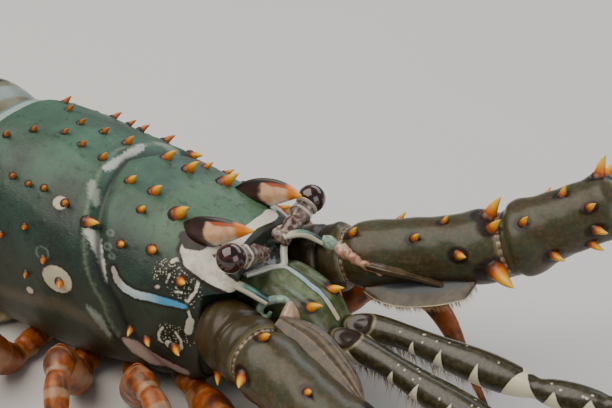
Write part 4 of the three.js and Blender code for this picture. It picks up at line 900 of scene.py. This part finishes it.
for letter, side in SIDES:
    joints, whip = FEELERS[letter]["joints"], FEELERS[letter]["whip"]
    whip_path = line_through([joints[3]] + whip)
    whip_start = unit(whip_path(np.array([1e-3])) - whip_path(np.array([0.0])))[0]
    cuts = [np.array([1.0, 0, 0]), bend(*joints[:3]), bend(*joints[1:]),
            unit(whip_start + unit(np.array(joints[3]) - joints[2]))]
    rng = np.random.default_rng(21 + side)
    lengths = [("base", BASE_SIZES, BASE_SPINES), ("middle", MIDDLE_SIZES, FEELERS[letter]["middle"]),
               ("outer", OUTER_SIZES, FEELERS[letter]["outer"])]
    for index, (name, sizes, rows) in enumerate(lengths):
        path = line_through(joints[index:index + 2])
        long = np.linalg.norm(np.subtract(joints[index + 1], joints[index]))
        rows = [(share, degrees if side < 0 else 180 - degrees, length) for share, degrees, length in rows]

        def folds(share, turn):
            worn = 0.16 * np.sin(share * 9 + turn / 23) + 0.1 * np.sin(turn / 9 + share * 31)
            collar = {"base": -1.3 * np.exp(-((share - 0.66) * long / 1.2) ** 2), "middle": 0,
                      "outer": -0.9 * np.exp(-((share - 0.075) * long / 1.3) ** 2)}[name]
            rim = 0.35 * np.exp(-((1 - share) * long / 1.6) ** 2)
            return (worn + rim + collar) * smooth(share * long, 0.2, 2)

        def socket(share, turn):
            """How far a place lies from the nearest spine's foot, in radii of its dark ring."""
            far = 9
            for at, degrees, length in rows:
                about = np.radians((turn - degrees + 180) % 360 - 180) * FEELER_ROUND
                far = np.minimum(far, np.hypot((share - at + 0.01) * long / 1.35, about) / (length * 0.52))
            return far

        def rim(share, turn):
            return np.exp(-((1 - share) * long / 1.8) ** 2) + 0.9 * np.exp(-(share * long / 1.5) ** 2)

        body = limb(path, sizes, 90, 90, cuts=(cuts[index], cuts[index + 1]), relief=folds,
                    low=0.4 / long, high=1 - 0.4 / long, socket=socket, rim=rim,
                    top=lambda share, turn: np.sin(np.radians(turn)),
                    basal=lambda share, turn: (name == "base") * (1 - 0.4 * share))
        piece(f"feeler_{name}_{letter}", [body], olive, "antenna", f"antenna_{name}_{letter}")
        thorns = []
        for share, degrees, length in rows:
            root, out, forward = side_of(path, sizes, share, degrees)
            thorns.append(spine(root - out * 0.3, out, forward, length, length * SPINE_SLIMNESS * 0.8, 0.8))
        piece(f"feeler_{name}_spines_{letter}", thorns, thorn, "antenna")

    knobs = lambda share, turn: 0.3 * np.sin(share * 30) * np.cos(np.radians(turn * 3)) + 0.12 * np.sin(share * 61)
    line, sizes, up = PADS[letter]
    pad = limb(line_through(line), sizes, 60, 40, up=up, relief=knobs if side > 0 else None, sunk=0.4,
               crown=lambda share, turn: share if side < 0 else 1 - share)
    piece(f"feeler_rasp_pad_{letter}", [pad], pad_skin, "antenna")
    twist = lambda share, turn: np.sin(np.radians(turn * 9 + share * 90))
    fold = limb(line_through(FOLDS[letter]), FOLD_SIZES, 120, 104, up=(0, side * 0.4, 1), sunk=0.5, slate=0,
                relief=lambda share, turn: 0.12 * twist(share, turn) * smooth(np.sin(np.pi * share), 0, 0.5),
                edge=lambda share, turn: 0.9 - 0.45 * (twist(share, turn) > 0.96))
    piece(f"feeler_inner_fold_{letter}", [fold], flap_skin, "antenna")
    skins = []
    for place, radius, out in SKINS:
        joint, cut = np.array(joints[place], float), cuts[place]
        waist = [[0, radius * 0.96], [0.5, radius], [1, radius * 0.96]]
        pleat = lambda share, turn: np.sin(np.radians(turn * PLEATS))
        skins.append(sleeve(joint - cut * out, joint + cut * out, waist, 12, 6 * PLEATS, -0.6,
                            relief=lambda share, turn: 0.16 * pleat(share, turn), pleat=pleat))
    piece(f"feeler_joint_skin_{letter}", skins, pleated, "antenna")

    # The hairy plate along the foot of the middle length: a thin wavy sheet with bristles on its rim
    path = line_through(joints[1:3])
    flap_share = np.linspace(0.1, 0.82, FLAP_STATIONS)
    out_to = profile(FRINGE)(flap_share)[:, None]
    places = [side_of(path, MIDDLE_SIZES, share, 220 if side < 0 else -40) for share in flap_share]
    foot, away, forward = (np.array([place[column] for place in places]) for column in range(3))
    loop = circle(24)
    reach_out = -4 + (out_to + 4) * (0.5 + 0.5 * np.cos(loop))
    curl = 0.3 * np.sin(flap_share * 17)[:, None] * smooth(reach_out, 0, 9)
    thick = 0.55 * np.sin(loop) * (1.1 - smooth(reach_out, 2, 9)) + curl
    sheet = (foot[:, None] + reach_out[..., None] * away[:, None]
             + thick[..., None] * unit(np.cross(forward, away))[:, None])
    in_from_edge = out_to - reach_out
    slate = smooth(in_from_edge, 4.4, 6.4) * smooth(flap_share, 0.15, 0.3)[:, None]
    piece(f"feeler_hairy_plate_{letter}", [lofted(sheet, edge=in_from_edge, slate=slate)], flap_skin, "antenna")
    margin = foot + away * out_to
    picks = rng.uniform(0, FLAP_STATIONS - 1, FLAP_HAIRS)
    roots = np.stack([np.interp(picks, np.arange(FLAP_STATIONS), margin[:, axis]) for axis in range(3)], -1)
    ways = away[picks.astype(int)] + forward[picks.astype(int)] * 0.5
    hairs = bristles(roots, ways, rng.uniform(1.5, 3.2, FLAP_HAIRS), rng)
    piece(f"feeler_bristles_{letter}", hairs, bristle, "antenna")

    # The whip: rings that grow shorter with its thickness, each swelling towards its front edge
    share = np.linspace(0, 1, 1500)
    steps = np.linalg.norm(np.diff(whip_path(share), axis=0), axis=1)
    ring_count = np.concatenate([[0], np.cumsum(steps / (1.1 + 0.23 * WHIP(share[1:])))])
    for name, low, high, count in (("near", 0, 0.4, 760), ("far", 0.4, 1, 900)):
        at = np.linspace(low, high, count)
        counted = np.interp(at, share, ring_count)
        saw = counted % 1
        thick = WHIP(at) * (1 + 0.05 * saw - 0.1 * np.exp(-(np.minimum(saw, 1 - saw) / 0.12) ** 2))
        whole = tube(whip_path, at, thick, 14, ring=saw[:, None], band=(0.5 + 0.5 * np.sin(counted / 9))[:, None])
        piece(f"feeler_whip_{name}_{letter}", [whole], ringed, "antenna_whip", f"antenna_whip_{name}_{letter}")


# Small feelers: a jointed stem each of thin dark shell with cream triangles and a fringe of bristles below it,
# ending in two fine banded whips.
STEM_SIZES = [[0, 3.8, 3.6], [0.06, 5, 4.8], [0.3, 4.8, 4.6], [0.7, 4.9, 4.7], [0.74, 3.8, 3.6], [0.77, 4.8, 4.6],
              [0.88, 4.4, 4.2], [0.9, 3.6, 3.4], [0.92, 4.3, 4.1], [0.98, 4.1, 3.9], [1, 3.5, 3.3]]
STEMS = {
    "r": {"path": [(87.55, -4.6, 35), (109, -9, 37), (136, -12, 33), (166, -15, 31), (204, -20, 36)],
          "outer": [(236, -34, 58), (262, -56, 84), (276, -82, 112)],
          "inner": [(240, -18, 50), (276, -22, 66), (310, -32, 84)]},
    "l": {"path": [(87.55, 4.6, 35), (107, 5.6, 38), (136, 5, 38), (166, 5, 38), (206, 8, 42)],
          "outer": [(240, 20, 64), (268, 40, 90), (284, 66, 118)],
          "inner": [(244, 4, 54), (282, 2, 70), (318, 6, 88)]}}
LASH = profile([[0, 1.7], [0.3, 1.3], [1, 0.5]])
LASH_APART = 1.85  # half the distance between a stem's two whips

# Stem cuticle: thin, smooth and nearly black brown, so the cream triangles stand out sharply on it
banded = new_material("banded_stem_cuticle")
mottle = pattern(banded, "Noise", 1.5, Detail=4, Roughness=0.6)
colour = layered(banded, "#2b2514", [
    ("#463f25", mottle, 0.62, 0.42),
    ("#7d6a45", "under", 0.98, 0.8, 0.7, mottle, 0.2),
    ("#c9c6ae", "dots", -0.1, 0.18),
    ("#1d1810", "triangle", 0.5, 1.2, 0.7),
    ("#dcd5b6", "triangle", 0.2, 0.6, 1, mottle, 0.6),
    ("#7f7852", "hollow", 0.3, 0.5, 0.9, mottle, 0.3),
    ("#25130b", "hollow", 0, 0.16)])
finish(banded, colour, mottle, 0.06, Roughness=0.34, IOR=1.5, Coat_Weight=0.3, Coat_Roughness=0.12)

# Lash cuticle: short rings, half matt, whose dark and cream bands make the whips look striped from afar
lash_skin = new_material("banded_lash_cuticle")
mottle = pattern(lash_skin, "Noise", 2, Detail=3)
colour = layered(lash_skin, "#3a2c18", [("#d8cda6", "band", 0.1, -0.1, 1, mottle, 0.2)])
finish(lash_skin, colour, mottle, 0.03, Roughness=0.4, IOR=1.5)

STEM_LONG = 124
STEM_ROUND = 12.5  # degrees round the stem to one mm
STEM_DOTS, STEM_HAIRS = 30, 420
LASH_RINGS = 105
# Cream triangles along both lower edges, as [share of the stem, half width, height]
TEETH = [[0.13, 16, 7], [0.345, 2.4, 7.5], [0.44, 3.3, 8.3], [0.565, 3.5, 8.3], [0.7, 7.5, 13], [0.79, 4, 8],
         [0.87, 4.4, 8]]
for letter, side in SIDES:
    way = STEMS[letter]
    path = line_through(way["path"])
    rng = np.random.default_rng(40 + side)
    spots = np.stack([rng.uniform(0.25, 0.97, STEM_DOTS), rng.uniform(40, 150, STEM_DOTS)], -1)

    def triangle(share, turn):
        rise = np.abs(np.abs((turn + 270) % 360 - 180) - 34) / STEM_ROUND  # mm from the lower edge, on both sides
        return np.min([np.maximum(np.abs(share - at) * STEM_LONG - half * (1 - rise / tall), rise - tall)
                       for at, half, tall in TEETH], axis=0)

    def dots(share, turn):
        return np.min([np.hypot((share - at) * STEM_LONG, np.radians(turn - round_at) * 4.6)
                       for at, round_at in spots], axis=0) - 0.4

    def hollow(share, turn):
        """The shallow pit on top of a stem's root, from -1 in its middle to 0 at its rim."""
        about = np.radians(turn - (70 if side < 0 else 50)) * 4.8
        return np.hypot((share - 0.1) * STEM_LONG / 8.5, about / 4.4) - 1

    stem = limb(path, STEM_SIZES, 260, 72, cuts=(np.array([1.0, 0, 0]), None), low=0.002, high=0.998, sunk=1,
                relief=lambda share, turn: -1.1 * (1 - smooth(hollow(share, turn), -0.5, 0.1)),
                triangle=triangle, dots=dots, hollow=hollow,
                under=lambda share, turn: 0.5 - 0.5 * np.sin(np.radians(turn)))
    piece(f"antennule_stem_shell_{letter}", [stem], banded, "antennule", f"antennule_stem_{letter}")
    at = np.sort(rng.uniform(0.05, 0.6, STEM_HAIRS))
    places = [side_of(path, STEM_SIZES, share, rng.uniform(-115, -55)) for share in at]
    roots = [root - out * 0.4 for root, out, _ in places]
    ways = [out + forward * rng.uniform(0.2, 0.8) for _, out, forward in places]
    hairs = bristles(roots, ways, rng.uniform(3.5, 7.5, STEM_HAIRS) * (0.6 + 0.4 * np.sin(at * 5)), rng, 0.1)
    piece(f"antennule_bristles_{letter}", hairs, bristle, "antennule")
    end = frame_on(path, np.array([0.998]))[0][0]
    tip = np.array(way["path"][-1], float)
    for name, turned in (("outer", side), ("inner", -side)):
        start = tip + unit(np.array([-end[1], end[0], 0])) * turned * LASH_APART
        lash = line_through([start, start + end * 8] + way[name])
        share = np.linspace(0.003, 1, 420)
        saw = (share * LASH_RINGS) % 1
        thick = LASH(share) * (1 - 0.09 * np.exp(-(np.minimum(saw, 1 - saw) / 0.15) ** 2))
        whole = tube(lash, share, thick, 10, band=np.sin(share * 60)[:, None])
        piece(f"antennule_lash_{name}_{letter}", [whole], lash_skin, "antennule", f"antennule_{name}_{letter}")

# Breast plate: flat pale plates of shell grown together, with a socket for each leg
BREAST_HALF = profile([[-66, 19], [-55, 24], [-30, 24], [0, 20], [25, 15], [44, 11]])
LEG_ROOTS = [24, 6, -13, -33, -54]
LEG_HEIGHT = 5.5
BREAST_TOP = 10.7

# Breast cuticle: thick, pale and waxy, with dark seams that show where the plates have grown together
belly = new_material("pale_breast_cuticle")
mottle = pattern(belly, "Noise", 5, Detail=5)
colour = layered(belly, "#b3a684", [
    ("#8a7a58", mottle, 0.62, 0.42),
    ("#5b3d22", "seam", 0.3, 1.2, 0.8, mottle, 0.8)])
finish(belly, colour, mottle, 0.1, Roughness=0.35, IOR=1.5, Coat_Weight=0.3, Coat_Roughness=0.15)
x, turn = np.meshgrid(np.linspace(-66, 44, 150), circle(80), indexing="ij")
bowed = 0.06 * np.abs(BREAST_HALF(x) * np.cos(turn)) ** 1.2
seams = np.min([np.abs(x - (at - 9) - bowed) for at in LEG_ROOTS], axis=0)
height = -1.6 + (BREAST_TOP + 1.6) * (0.5 + squared(np.sin(turn), 0.5) / 2)
width = BREAST_HALF(x) * squared(np.cos(turn), 0.6) * (1 - 0.03 * np.exp(-(seams / 1.2) ** 2))
breast = np.stack([x, width, np.clip(height, 0, BREAST_TOP)], -1)
breast[..., 2] += np.where(breast[..., 2] < 0.01, 0.7 * np.exp(-(seams / 0.8) ** 2), 0)
forms = [lofted(breast, seam=seams)]

# Legs: an upper and a lower length each, of thin orange-brown shell with cream streaks, banded towards the claw,
# which is horny and dark at its point. The lengths turn on pegs inside soft joint skin.
# Each leg as [degrees back from square to the body, degrees more for each further length, knee and wrist as
# (mm out, mm up), mm out to its tip]
LEGS = {"r": [[57, 2, (54, 14), (74, 12), 96], [42, 5, (52, 30), (70, 28), 94], [30, 2, (52, 33), (70, 30), 94],
              [8, -2, (52, 38), (70, 34), 94], [-30, -4, (48, 34), (64, 30), 86]],
        "l": [[56, 13, (60, 24), (82, 28), 111], [4, 2, (44, 25), (60, 19), 80], [-14, -1, (44, 26), (60, 20), 80],
              [-32, -3, (44, 28), (60, 22), 80], [-52, -4, (46, 30), (62, 24), 82]]}
UPPER_SIZES = [[0, 4.2, 4.2], [0.1, 5, 4.9], [0.26, 4.9, 4.9], [0.33, 4, 4.2], [0.42, 5, 5.2], [0.92, 5.3, 5.5],
               [1, 4, 4.2]]
LOWER_SIZES = [[0, 3.8, 4], [0.06, 4.9, 5], [0.2, 4.9, 4.9], [0.27, 3.6, 3.6], [0.34, 4.2, 4.2], [0.7, 3.2, 3.3],
               [0.76, 2.5, 2.6], [1, 0.9, 0.9]]

# Leg cuticle: thin ribbed shell, less glossy than the shield, so its cream streaks and dark claw read without glare
leg_shell = new_material("banded_leg_cuticle")
mottle = pattern(leg_shell, "Noise", 3, Detail=5, Roughness=0.6)
streaks = pattern(leg_shell, "Noise", 9, Detail=2)
colour = layered(leg_shell, "#8a4106", [
    ("#a2561a", mottle, 0.64, 0.42),
    ("#45220f", streaks, 0.38, 0.52, 0.8),
    ("#a07d58", "streak", 1.25, 0.8, 0.6, mottle, 0.5),
    ("#b39a75", "band", 1.3, 0.95, 0.5, mottle, 0.7),
    ("#2b1a12", "claw", 0.99, 0.9)])
finish(leg_shell, colour, mottle, 0.08, Roughness=0.42, IOR=1.45, Coat_Weight=0.2, Coat_Roughness=0.15)


def rib(share, turn):
    """The low ribs and rings of a leg's shell, in mm."""
    return 0.25 * np.cos(np.radians(turn * 4)) + 0.12 * np.sin(share * 60)


leg_skins = []
for letter, side in SIDES:
    for index, (swing, curl, knee, wrist, foot) in enumerate(LEGS[letter]):
        root = np.array([LEG_ROOTS[index], side * BREAST_HALF(LEG_ROOTS[index]), LEG_HEIGHT])
        plain = 0.45 if side > 0 and index == 0 else 1  # the front left leg has hardly any cream

        def heading(turns):
            """The level direction in which a leg runs on after so many of its bends."""
            angle = np.radians(swing + curl * turns)
            return np.array([np.sin(angle), side * np.cos(angle), 0])

        def at(turns, distance, height):
            return np.array([*(root + heading(turns) * distance)[:2], height])

        def streak(share, turn):
            run = smooth(np.sin(share * 15 + index), -0.7, 0.2)
            return plain * (0.5 + 0.5 * np.cos(np.radians(2 * turn - 40))) * run

        out = heading(0)
        hip, knee = at(0, 7, LEG_HEIGHT), at(0, *knee)
        upper = line_through([hip, at(0, 28, LEG_HEIGHT + 1.2), knee])
        lower = line_through([knee, at(1, *wrist), at(2, foot, 0)])
        bent = unit(frame_on(upper, np.array([0.999]))[0][0] + frame_on(lower, np.array([0.001]))[0][0])
        upper_form = limb(upper, UPPER_SIZES, 80, 44, cuts=(out, bent), relief=rib, low=0.005, high=0.995,
                          streak=streak, band=lambda share, turn: np.sin(share * 22) * 0.75 * plain, claw=0)
        lower_form = limb(lower, LOWER_SIZES, 110, 40, up=tuple(out), cuts=(bent, None), low=0.004, sunk=1,
                          relief=lambda share, turn: 0.5 * rib(share, turn) * (1 - share), streak=streak,
                          band=lambda share, turn: np.sin(share * 26 + 1) * plain, claw=lambda share, turn: share)
        for name, form in (("upper", upper_form), ("lower", lower_form)):
            form[0][:, 2] = np.maximum(form[0][:, 2], 0)
            label = f"{name}_{letter}"
            piece(f"walking_leg{index + 1}_{label}", [form], leg_shell, "leg", f"leg{index + 1}_{label}")
        # The leg joint skins' pleat value of -0.2 gives them a little of that painted shade all over
        leg_skins.append(sleeve(knee - bent * 2.5, knee + bent * 2.5, [[0, 3.4, 3.6], [1, 3.4, 3.6]], 8, 40, 0.5,
                                pleat=-0.2))
        leg_skins.append(sleeve(hip - out * 2, hip + out * 2, [[0, 3.7], [1, 3.7]], 8, 40, 0.5, pleat=-0.2))
        forms.append(sleeve(root - out * 8, root + out * 6.85, [[0, 4.6], [0.8, 5], [1, 4.8]], 20, 40, 1, seam=2))
piece("leg_joint_skin", leg_skins, pleated, "leg")
piece("breast_shell", forms, belly, "underside", "breast_plate")

# Jaw feet: the curled mouth limbs, jointed and bristled, of the same shell as the legs
JAW_SIZES = [[0, 3.2, 3.6], [0.1, 4, 4.4], [0.35, 4, 4.4], [0.42, 3.2, 3.6], [0.5, 3.6, 4], [0.75, 3, 3.2],
             [1, 1, 1.2]]
JAW_HAIRS = 160
for letter, side in SIDES:
    path = line_through([(44.3, side * 6, 5.4), (58, side * 8, 6.4), (72, side * 7, 10), (78, side * 5.5, 17)])
    jaw = limb(path, JAW_SIZES, 80, 36, cuts=(np.array([1.0, 0, 0]), None), low=0.004, sunk=1,
               streak=lambda share, turn: 0.5 + 0.5 * np.cos(np.radians(turn)), band=-1,
               claw=lambda share, turn: share)
    piece(f"jaw_foot_{letter}", [jaw], leg_shell, "leg", f"maxilliped_{letter}")
    rng = np.random.default_rng(60 + side)
    at = rng.uniform(0.45, 0.95, JAW_HAIRS)
    places = [side_of(path, JAW_SIZES, share, rng.uniform(40, 140)) for share in at]
    roots, ways = [root - out * 0.4 for root, out, _ in places], [out + forward * 0.5 for _, out, forward in places]
    piece(f"jaw_foot_bristles_{letter}", bristles(roots, ways, rng.uniform(2, 4, JAW_HAIRS), rng), bristle, "leg")

# Tail: six overlapping rings of shell, each with pointed side plates, over soft flesh. A dark band crosses each
# ring, pale spots mark its sides, and paddles hang below the middle ones.
TAIL_LINE = arc((-66, 0, 46), (-155, 0, 46), (-212, 0, 14))
TAIL_LONG = 152.8
TAIL_HALF = profile([[0, 32], [0.2, 35.5], [0.5, 34.5], [0.8, 29], [1, 24]])
TAIL_RISE = profile([[0, 33], [0.05, 37], [0.12, 39.5], [0.3, 37], [0.5, 31], [0.8, 20], [1, 12]])
TAIL_DROP = profile([[0, 14], [0.3, 15], [0.7, 12], [1, 8]])
TAIL_JOINTS = [0, 0.16, 0.32, 0.485, 0.645, 0.805, 1]
RING_SCALE = profile([[-0.04, 0.92], [0.3, 0.95], [0.42, 0.985], [0.9, 1.01], [1.04, 0.985]])
# Side plates of the second to sixth ring as [depth in mm, half length and middle as shares of the ring's length],
# and their outline as [how far ahead, how far behind, share of the way down]
SIDE_PLATES = [[20, 0.42, 0.5], [20, 0.42, 0.5], [18, 0.42, 0.5], [15, 0.42, 0.5], [9, 0.36, 0.45]]
PLATE_ROWS = [[1, -1, 0], [0.85, -0.95, 0.45], [0.15, -0.85, 0.8], [-0.55, -0.75, 1]]


def tail_at(share, angle, scale):
    """The tail's outside at a share of its line, round it by an angle from the left side over the top."""
    sine, cosine = np.sin(angle), np.cos(angle)
    held = np.clip(share, 0.001, 0.999)
    along = unit(TAIL_LINE(held + 5e-4) - TAIL_LINE(held - 5e-4))
    over = np.stack([along[..., 2], 0 * share, -along[..., 0]], -1)
    tall = np.where(sine > 0, TAIL_RISE(share) * np.abs(sine) ** 0.9, -TAIL_DROP(share) * np.abs(sine) ** 0.6)
    wide = TAIL_HALF(share) * np.sign(cosine) * np.abs(cosine) ** np.where(sine > 0, 0.9, 0.7)
    return TAIL_LINE(share) + np.stack([0 * wide, wide * scale, 0 * wide], -1) + over * (tall * scale)[..., None]


# Tail cuticle: the shield's shell again, thinner and smoother, so it is glossier on the overlapping rings
tail_shell = new_material("banded_tail_cuticle")
clouds = pattern(tail_shell, "Noise", 14, Detail=4)
mottle = pattern(tail_shell, "Noise", 2.5, Detail=5, Roughness=0.6)
specks = pattern(tail_shell, "Voronoi", 1.8)
colour = layered(tail_shell, "#46604f", [
    ("#66816f", clouds, 0.62, 0.4),
    ("#93a795", specks, 0.1, 0.24, 0.5),
    ("#7c6a45", "side", 0.2, -0.1, 0.7, mottle, 0.5),
    ("#16201b", "belt", 0.5, 0.1, 0.95, mottle, 0.35),
    ("#93a5a2", "rim", 0.85, 0.5, 0.75, mottle, 0.3),
    ("#8d7a66", "rim", 1.1, 0.97, 0.8, mottle, 0.1),
    ("#d5cda8", "spot", -0.2, 0.3, 1, mottle, 0.4),
    ("#c4752a", "tip", 0.99, 0.8, 0.9, mottle, 0.2)])
finish(tail_shell, colour, mottle, 0.09, Roughness=0.4, IOR=1.45, Coat_Weight=0.2, Coat_Roughness=0.18)

# Paddle skin: soft thin flaps that let light through, so their edges look warm
paddle_skin = new_material("soft_paddle_skin")
mottle = pattern(paddle_skin, "Noise", 3, Detail=4)
colour = layered(paddle_skin, "#a8703a", [("#3d2b1b", mottle, 0.6, 0.42)])
finish(paddle_skin, colour, mottle, 0.1, Roughness=0.35, IOR=1.45, Subsurface_Weight=0.2,
       Subsurface_Radius=(0.002, 0.001, 0.0006))
PADDLE_SIZES = [[0, 3, 1.2], [0.5, 5.2, 1.1], [1, 2, 0.7]]


def ridge_at(value, middle, width):
    """A soft ridge of height 1 about a middle."""
    return np.exp(-((value - middle) / width) ** 2)


for index in range(6):
    low, high = TAIL_JOINTS[index], TAIL_JOINTS[index + 1]
    long = (high - low) * TAIL_LONG
    step, turn = np.meshgrid(0.5 - 0.5 * np.cos(np.linspace(0, np.pi, 70)), circle(140), indexing="ij")
    begin = 0.004 if index else 0.006
    share = low + (high - low) * (begin + (1 - 2 * begin) * step)
    scale = RING_SCALE(step) + 0.012 * ridge_at(step, 0.97, 0.03) - 0.012 * ridge_at(step, 0.44, 0.02) * (index > 0)
    ring = tail_at(share, turn, scale)
    uneven = 0.25 * waves(ring, 14, 30 + index) * smooth(step, 0.4, 0.6)
    ring += unit(ring - TAIL_LINE(share)) * uneven[..., None]
    start = ring[0] + (TAIL_LINE(np.array(low)) - ring[0]) * 0.05
    tuck, ending = (ring[-1] + (TAIL_LINE(np.array(high)) - ring[-1]) * drawn for drawn in (0.03, 0.09))
    back = unit(TAIL_LINE(np.array([high - 0.002])) - TAIL_LINE(np.array([high])))[0]
    ring = np.concatenate([start[None], ring, np.array([tuck, ending + back * 1.6])])
    step, turn = (np.concatenate([grid[:1], grid, grid[-1:], grid[-1:]]) for grid in (step, turn))
    round_side = np.abs(np.degrees(np.arcsin(np.sin(turn))))
    spot = np.minimum(np.hypot((step - 0.72) * long, (round_side - 26) * 0.6) - 2.6,
                      np.hypot((step - 0.66) * long, (round_side - 58) * 0.6) - 1.1)
    rim = smooth(step, 0.8, 0.98) if index else 0.95 * ridge_at(step, 0.42, 0.13)
    belt = 1 - np.abs(step - (0.62 if index else 0.78)) / 0.16
    forms = [lofted(ring, belt=belt, rim=rim, side=np.sin(turn), spot=np.where(np.sin(turn) > 0, spot, 9), tip=0.0)]
    for side in (-1, 1) if index else ():
        depth, half, middle = SIDE_PLATES[index - 1]
        middle, half = low + (high - low) * middle, long * half
        top = tail_at(np.array(middle), np.array(-0.12 if side > 0 else np.pi + 0.12), 1.0)
        along = unit(TAIL_LINE(np.array([middle + 1e-3])) - TAIL_LINE(np.array([middle - 1e-3])))[0]
        down, loop = np.linspace(0, 1, 40)[:, None], circle(40)
        ahead, behind = (profile([[row[2], row[column]] for row in PLATE_ROWS])(down) for column in (0, 1))
        across = (ahead + behind) / 2 + (ahead - behind) / 2 * squared(np.cos(loop), 0.8)
        thick = 1.6 * (1.6 - down) * (0.5 + 0.5 * np.sin(loop)) * np.abs(np.sin(loop)) ** 0.2
        drop = depth * down - 4 * (1 - down)
        off = np.stack([0 * across, -side * (thick + 1.2 + down * 2), -drop + 0 * across], -1)
        spot = np.hypot((across + 0.1) * half * 0.8, drop - 3) - 1.5
        plate = top - across[..., None] * along * half + off
        forms.append(lofted(plate, belt=0.0, rim=0.0, side=0.0, spot=spot, tip=down))
    piece(f"tail_shell_{index + 1}", forms, tail_shell, "tail", f"tail_ring_{index + 1}")
    if 0 < index < 5:
        middle, paddles = (low + high) / 2, []
        for side in (-1, 1):
            root = TAIL_LINE(np.array(middle)) + [0, side * 14, 2 - TAIL_DROP(middle)]
            tip = root + np.array([-4, side * 5, -12])
            paddles.append(limb(line_through([root, tip]), PADDLE_SIZES, 30, 36, up=(1, 0, 0), sunk=0.3))
        piece(f"tail_paddles_{index + 1}", paddles, paddle_skin, "tail")

# Tail fan: the middle plate and two lobes on each side. Each is hard, green and thorny at its root and goes over
# into a soft rayed blade with a fringe of bristles.
FAN_ROOT = TAIL_LINE(np.array(1.0))
LOBE_HALF = profile([[0, 0.42], [0.2, 0.74], [0.5, 0.98], [0.75, 1], [0.93, 0.82], [1, 0.5]])
RAYS = 26  # half as many as real ones, so that they show
FAN_HAIRS = 260
# Each lobe as (label, node, side, its root as mm out and up, its tip, half width, thickness)
LOBES = [("telson_blade", "telson", 1, (0, 4), (-276, 0, 7.6), 17, 4)]
for name, start, tip, half, thick in (("inner", (11, -2), (-272, 40, 4.2), 14, 2.6),
                                      ("outer", (17, -6.6), (-258, 67, 0.6), 15, 2.6)):
    LOBES += [(f"fan_{name}_{letter}", f"uropod_{name}_{letter}", side, start, tip, half, thick)
              for letter, side in SIDES]

# Fan cuticle: hard and glossy where it is thick, soft and rayed at the blade, so light catches the rays
rayed = new_material("rayed_fan_cuticle")
mottle = pattern(rayed, "Noise", 3, Detail=5)
colour = layered(rayed, "#8a4416", [
    ("#b9712a", mottle, 0.62, 0.42),
    ("#2b2a1b", "ray", 0.75, 0.2, 0.6),
    ("#314a3b", "along", 0.3, 0.42, 1, mottle, 0.16),
    ("#c9bd92", "spot", -0.2, 0.3, 1, mottle, 0.5),
    ("#3a2114", "along", 0.9, 0.8, 0.8, mottle, 0.08),
    ("#d6c596", "along", 0.985, 0.95, 0.9)])
finish(rayed, colour, mottle, 0.08, Roughness=0.34, IOR=1.5, Coat_Weight=0.4, Coat_Roughness=0.12)
tail_end = unit(TAIL_LINE(np.array([0.999])) - TAIL_LINE(np.array([0.997])))[0]
for label, node, side, (out, rise), (tip_x, tip_y, tip_z), half, thick in LOBES:
    root = FAN_ROOT + np.array([5, side * out, rise])
    along = np.array([tip_x, side * tip_y, tip_z]) - root
    across = unit(np.array([-along[1], along[0], 0]))
    share, turn = np.meshgrid(np.linspace(0, 1, 110), circle(120), indexing="ij")
    rays = np.cos(np.cos(turn) * RAYS * np.pi)
    ribs = 0.22 * np.cos(np.cos(turn) * 5 * np.pi) * np.minimum(1, share * 2)
    ridge = 1 + ribs + 0.1 * rays * smooth(share, 0.35, 0.6)
    taper = thick * (1 - 0.7 * share)
    above, below = np.abs(np.sin(turn)) ** 0.6 * ridge, -0.6 * np.abs(np.sin(turn)) ** 0.5
    aside = half * LOBE_HALF(share) * squared(np.cos(turn), 0.85)
    lobe = root + along * share[..., None] + across * aside[..., None]
    lobe[..., 2] = np.maximum(0.05, lobe[..., 2] + taper * np.where(np.sin(turn) > 0, above, below))
    lobe += tail_end * np.clip(0.2 - (lobe - FAN_ROOT) @ tail_end, 0, 9)[..., None]
    spot = np.hypot((share - 0.26) * 64, np.cos(turn) * half * 0.8 - 3) - 1.8
    piece(label, [lofted(lobe, along=share, ray=0.5 + 0.5 * rays, spot=spot)], rayed, "tail_fan", node)
    rng = np.random.default_rng(80 + len(label))
    edge = rng.uniform(-1, 1, FAN_HAIRS)
    reached = 1 - 0.25 * np.abs(edge) ** 2.2
    roots = root + along * reached[:, None] * 0.995 + across * (half * edge * LOBE_HALF(reached) * 0.96)[:, None]
    roots[:, 2] = np.maximum(0.4, roots[:, 2])
    ways = unit(along) + across * edge[:, None] * 0.6
    ways[:, 2] = 0.02
    hairs = bristles(roots, ways, rng.uniform(1.5, 2.6, FAN_HAIRS), rng)
    for form in hairs:
        form[0][:, 2] = np.maximum(form[0][:, 2], 0.05)
    piece(f"{label}_bristles", hairs, bristle, "tail_fan")
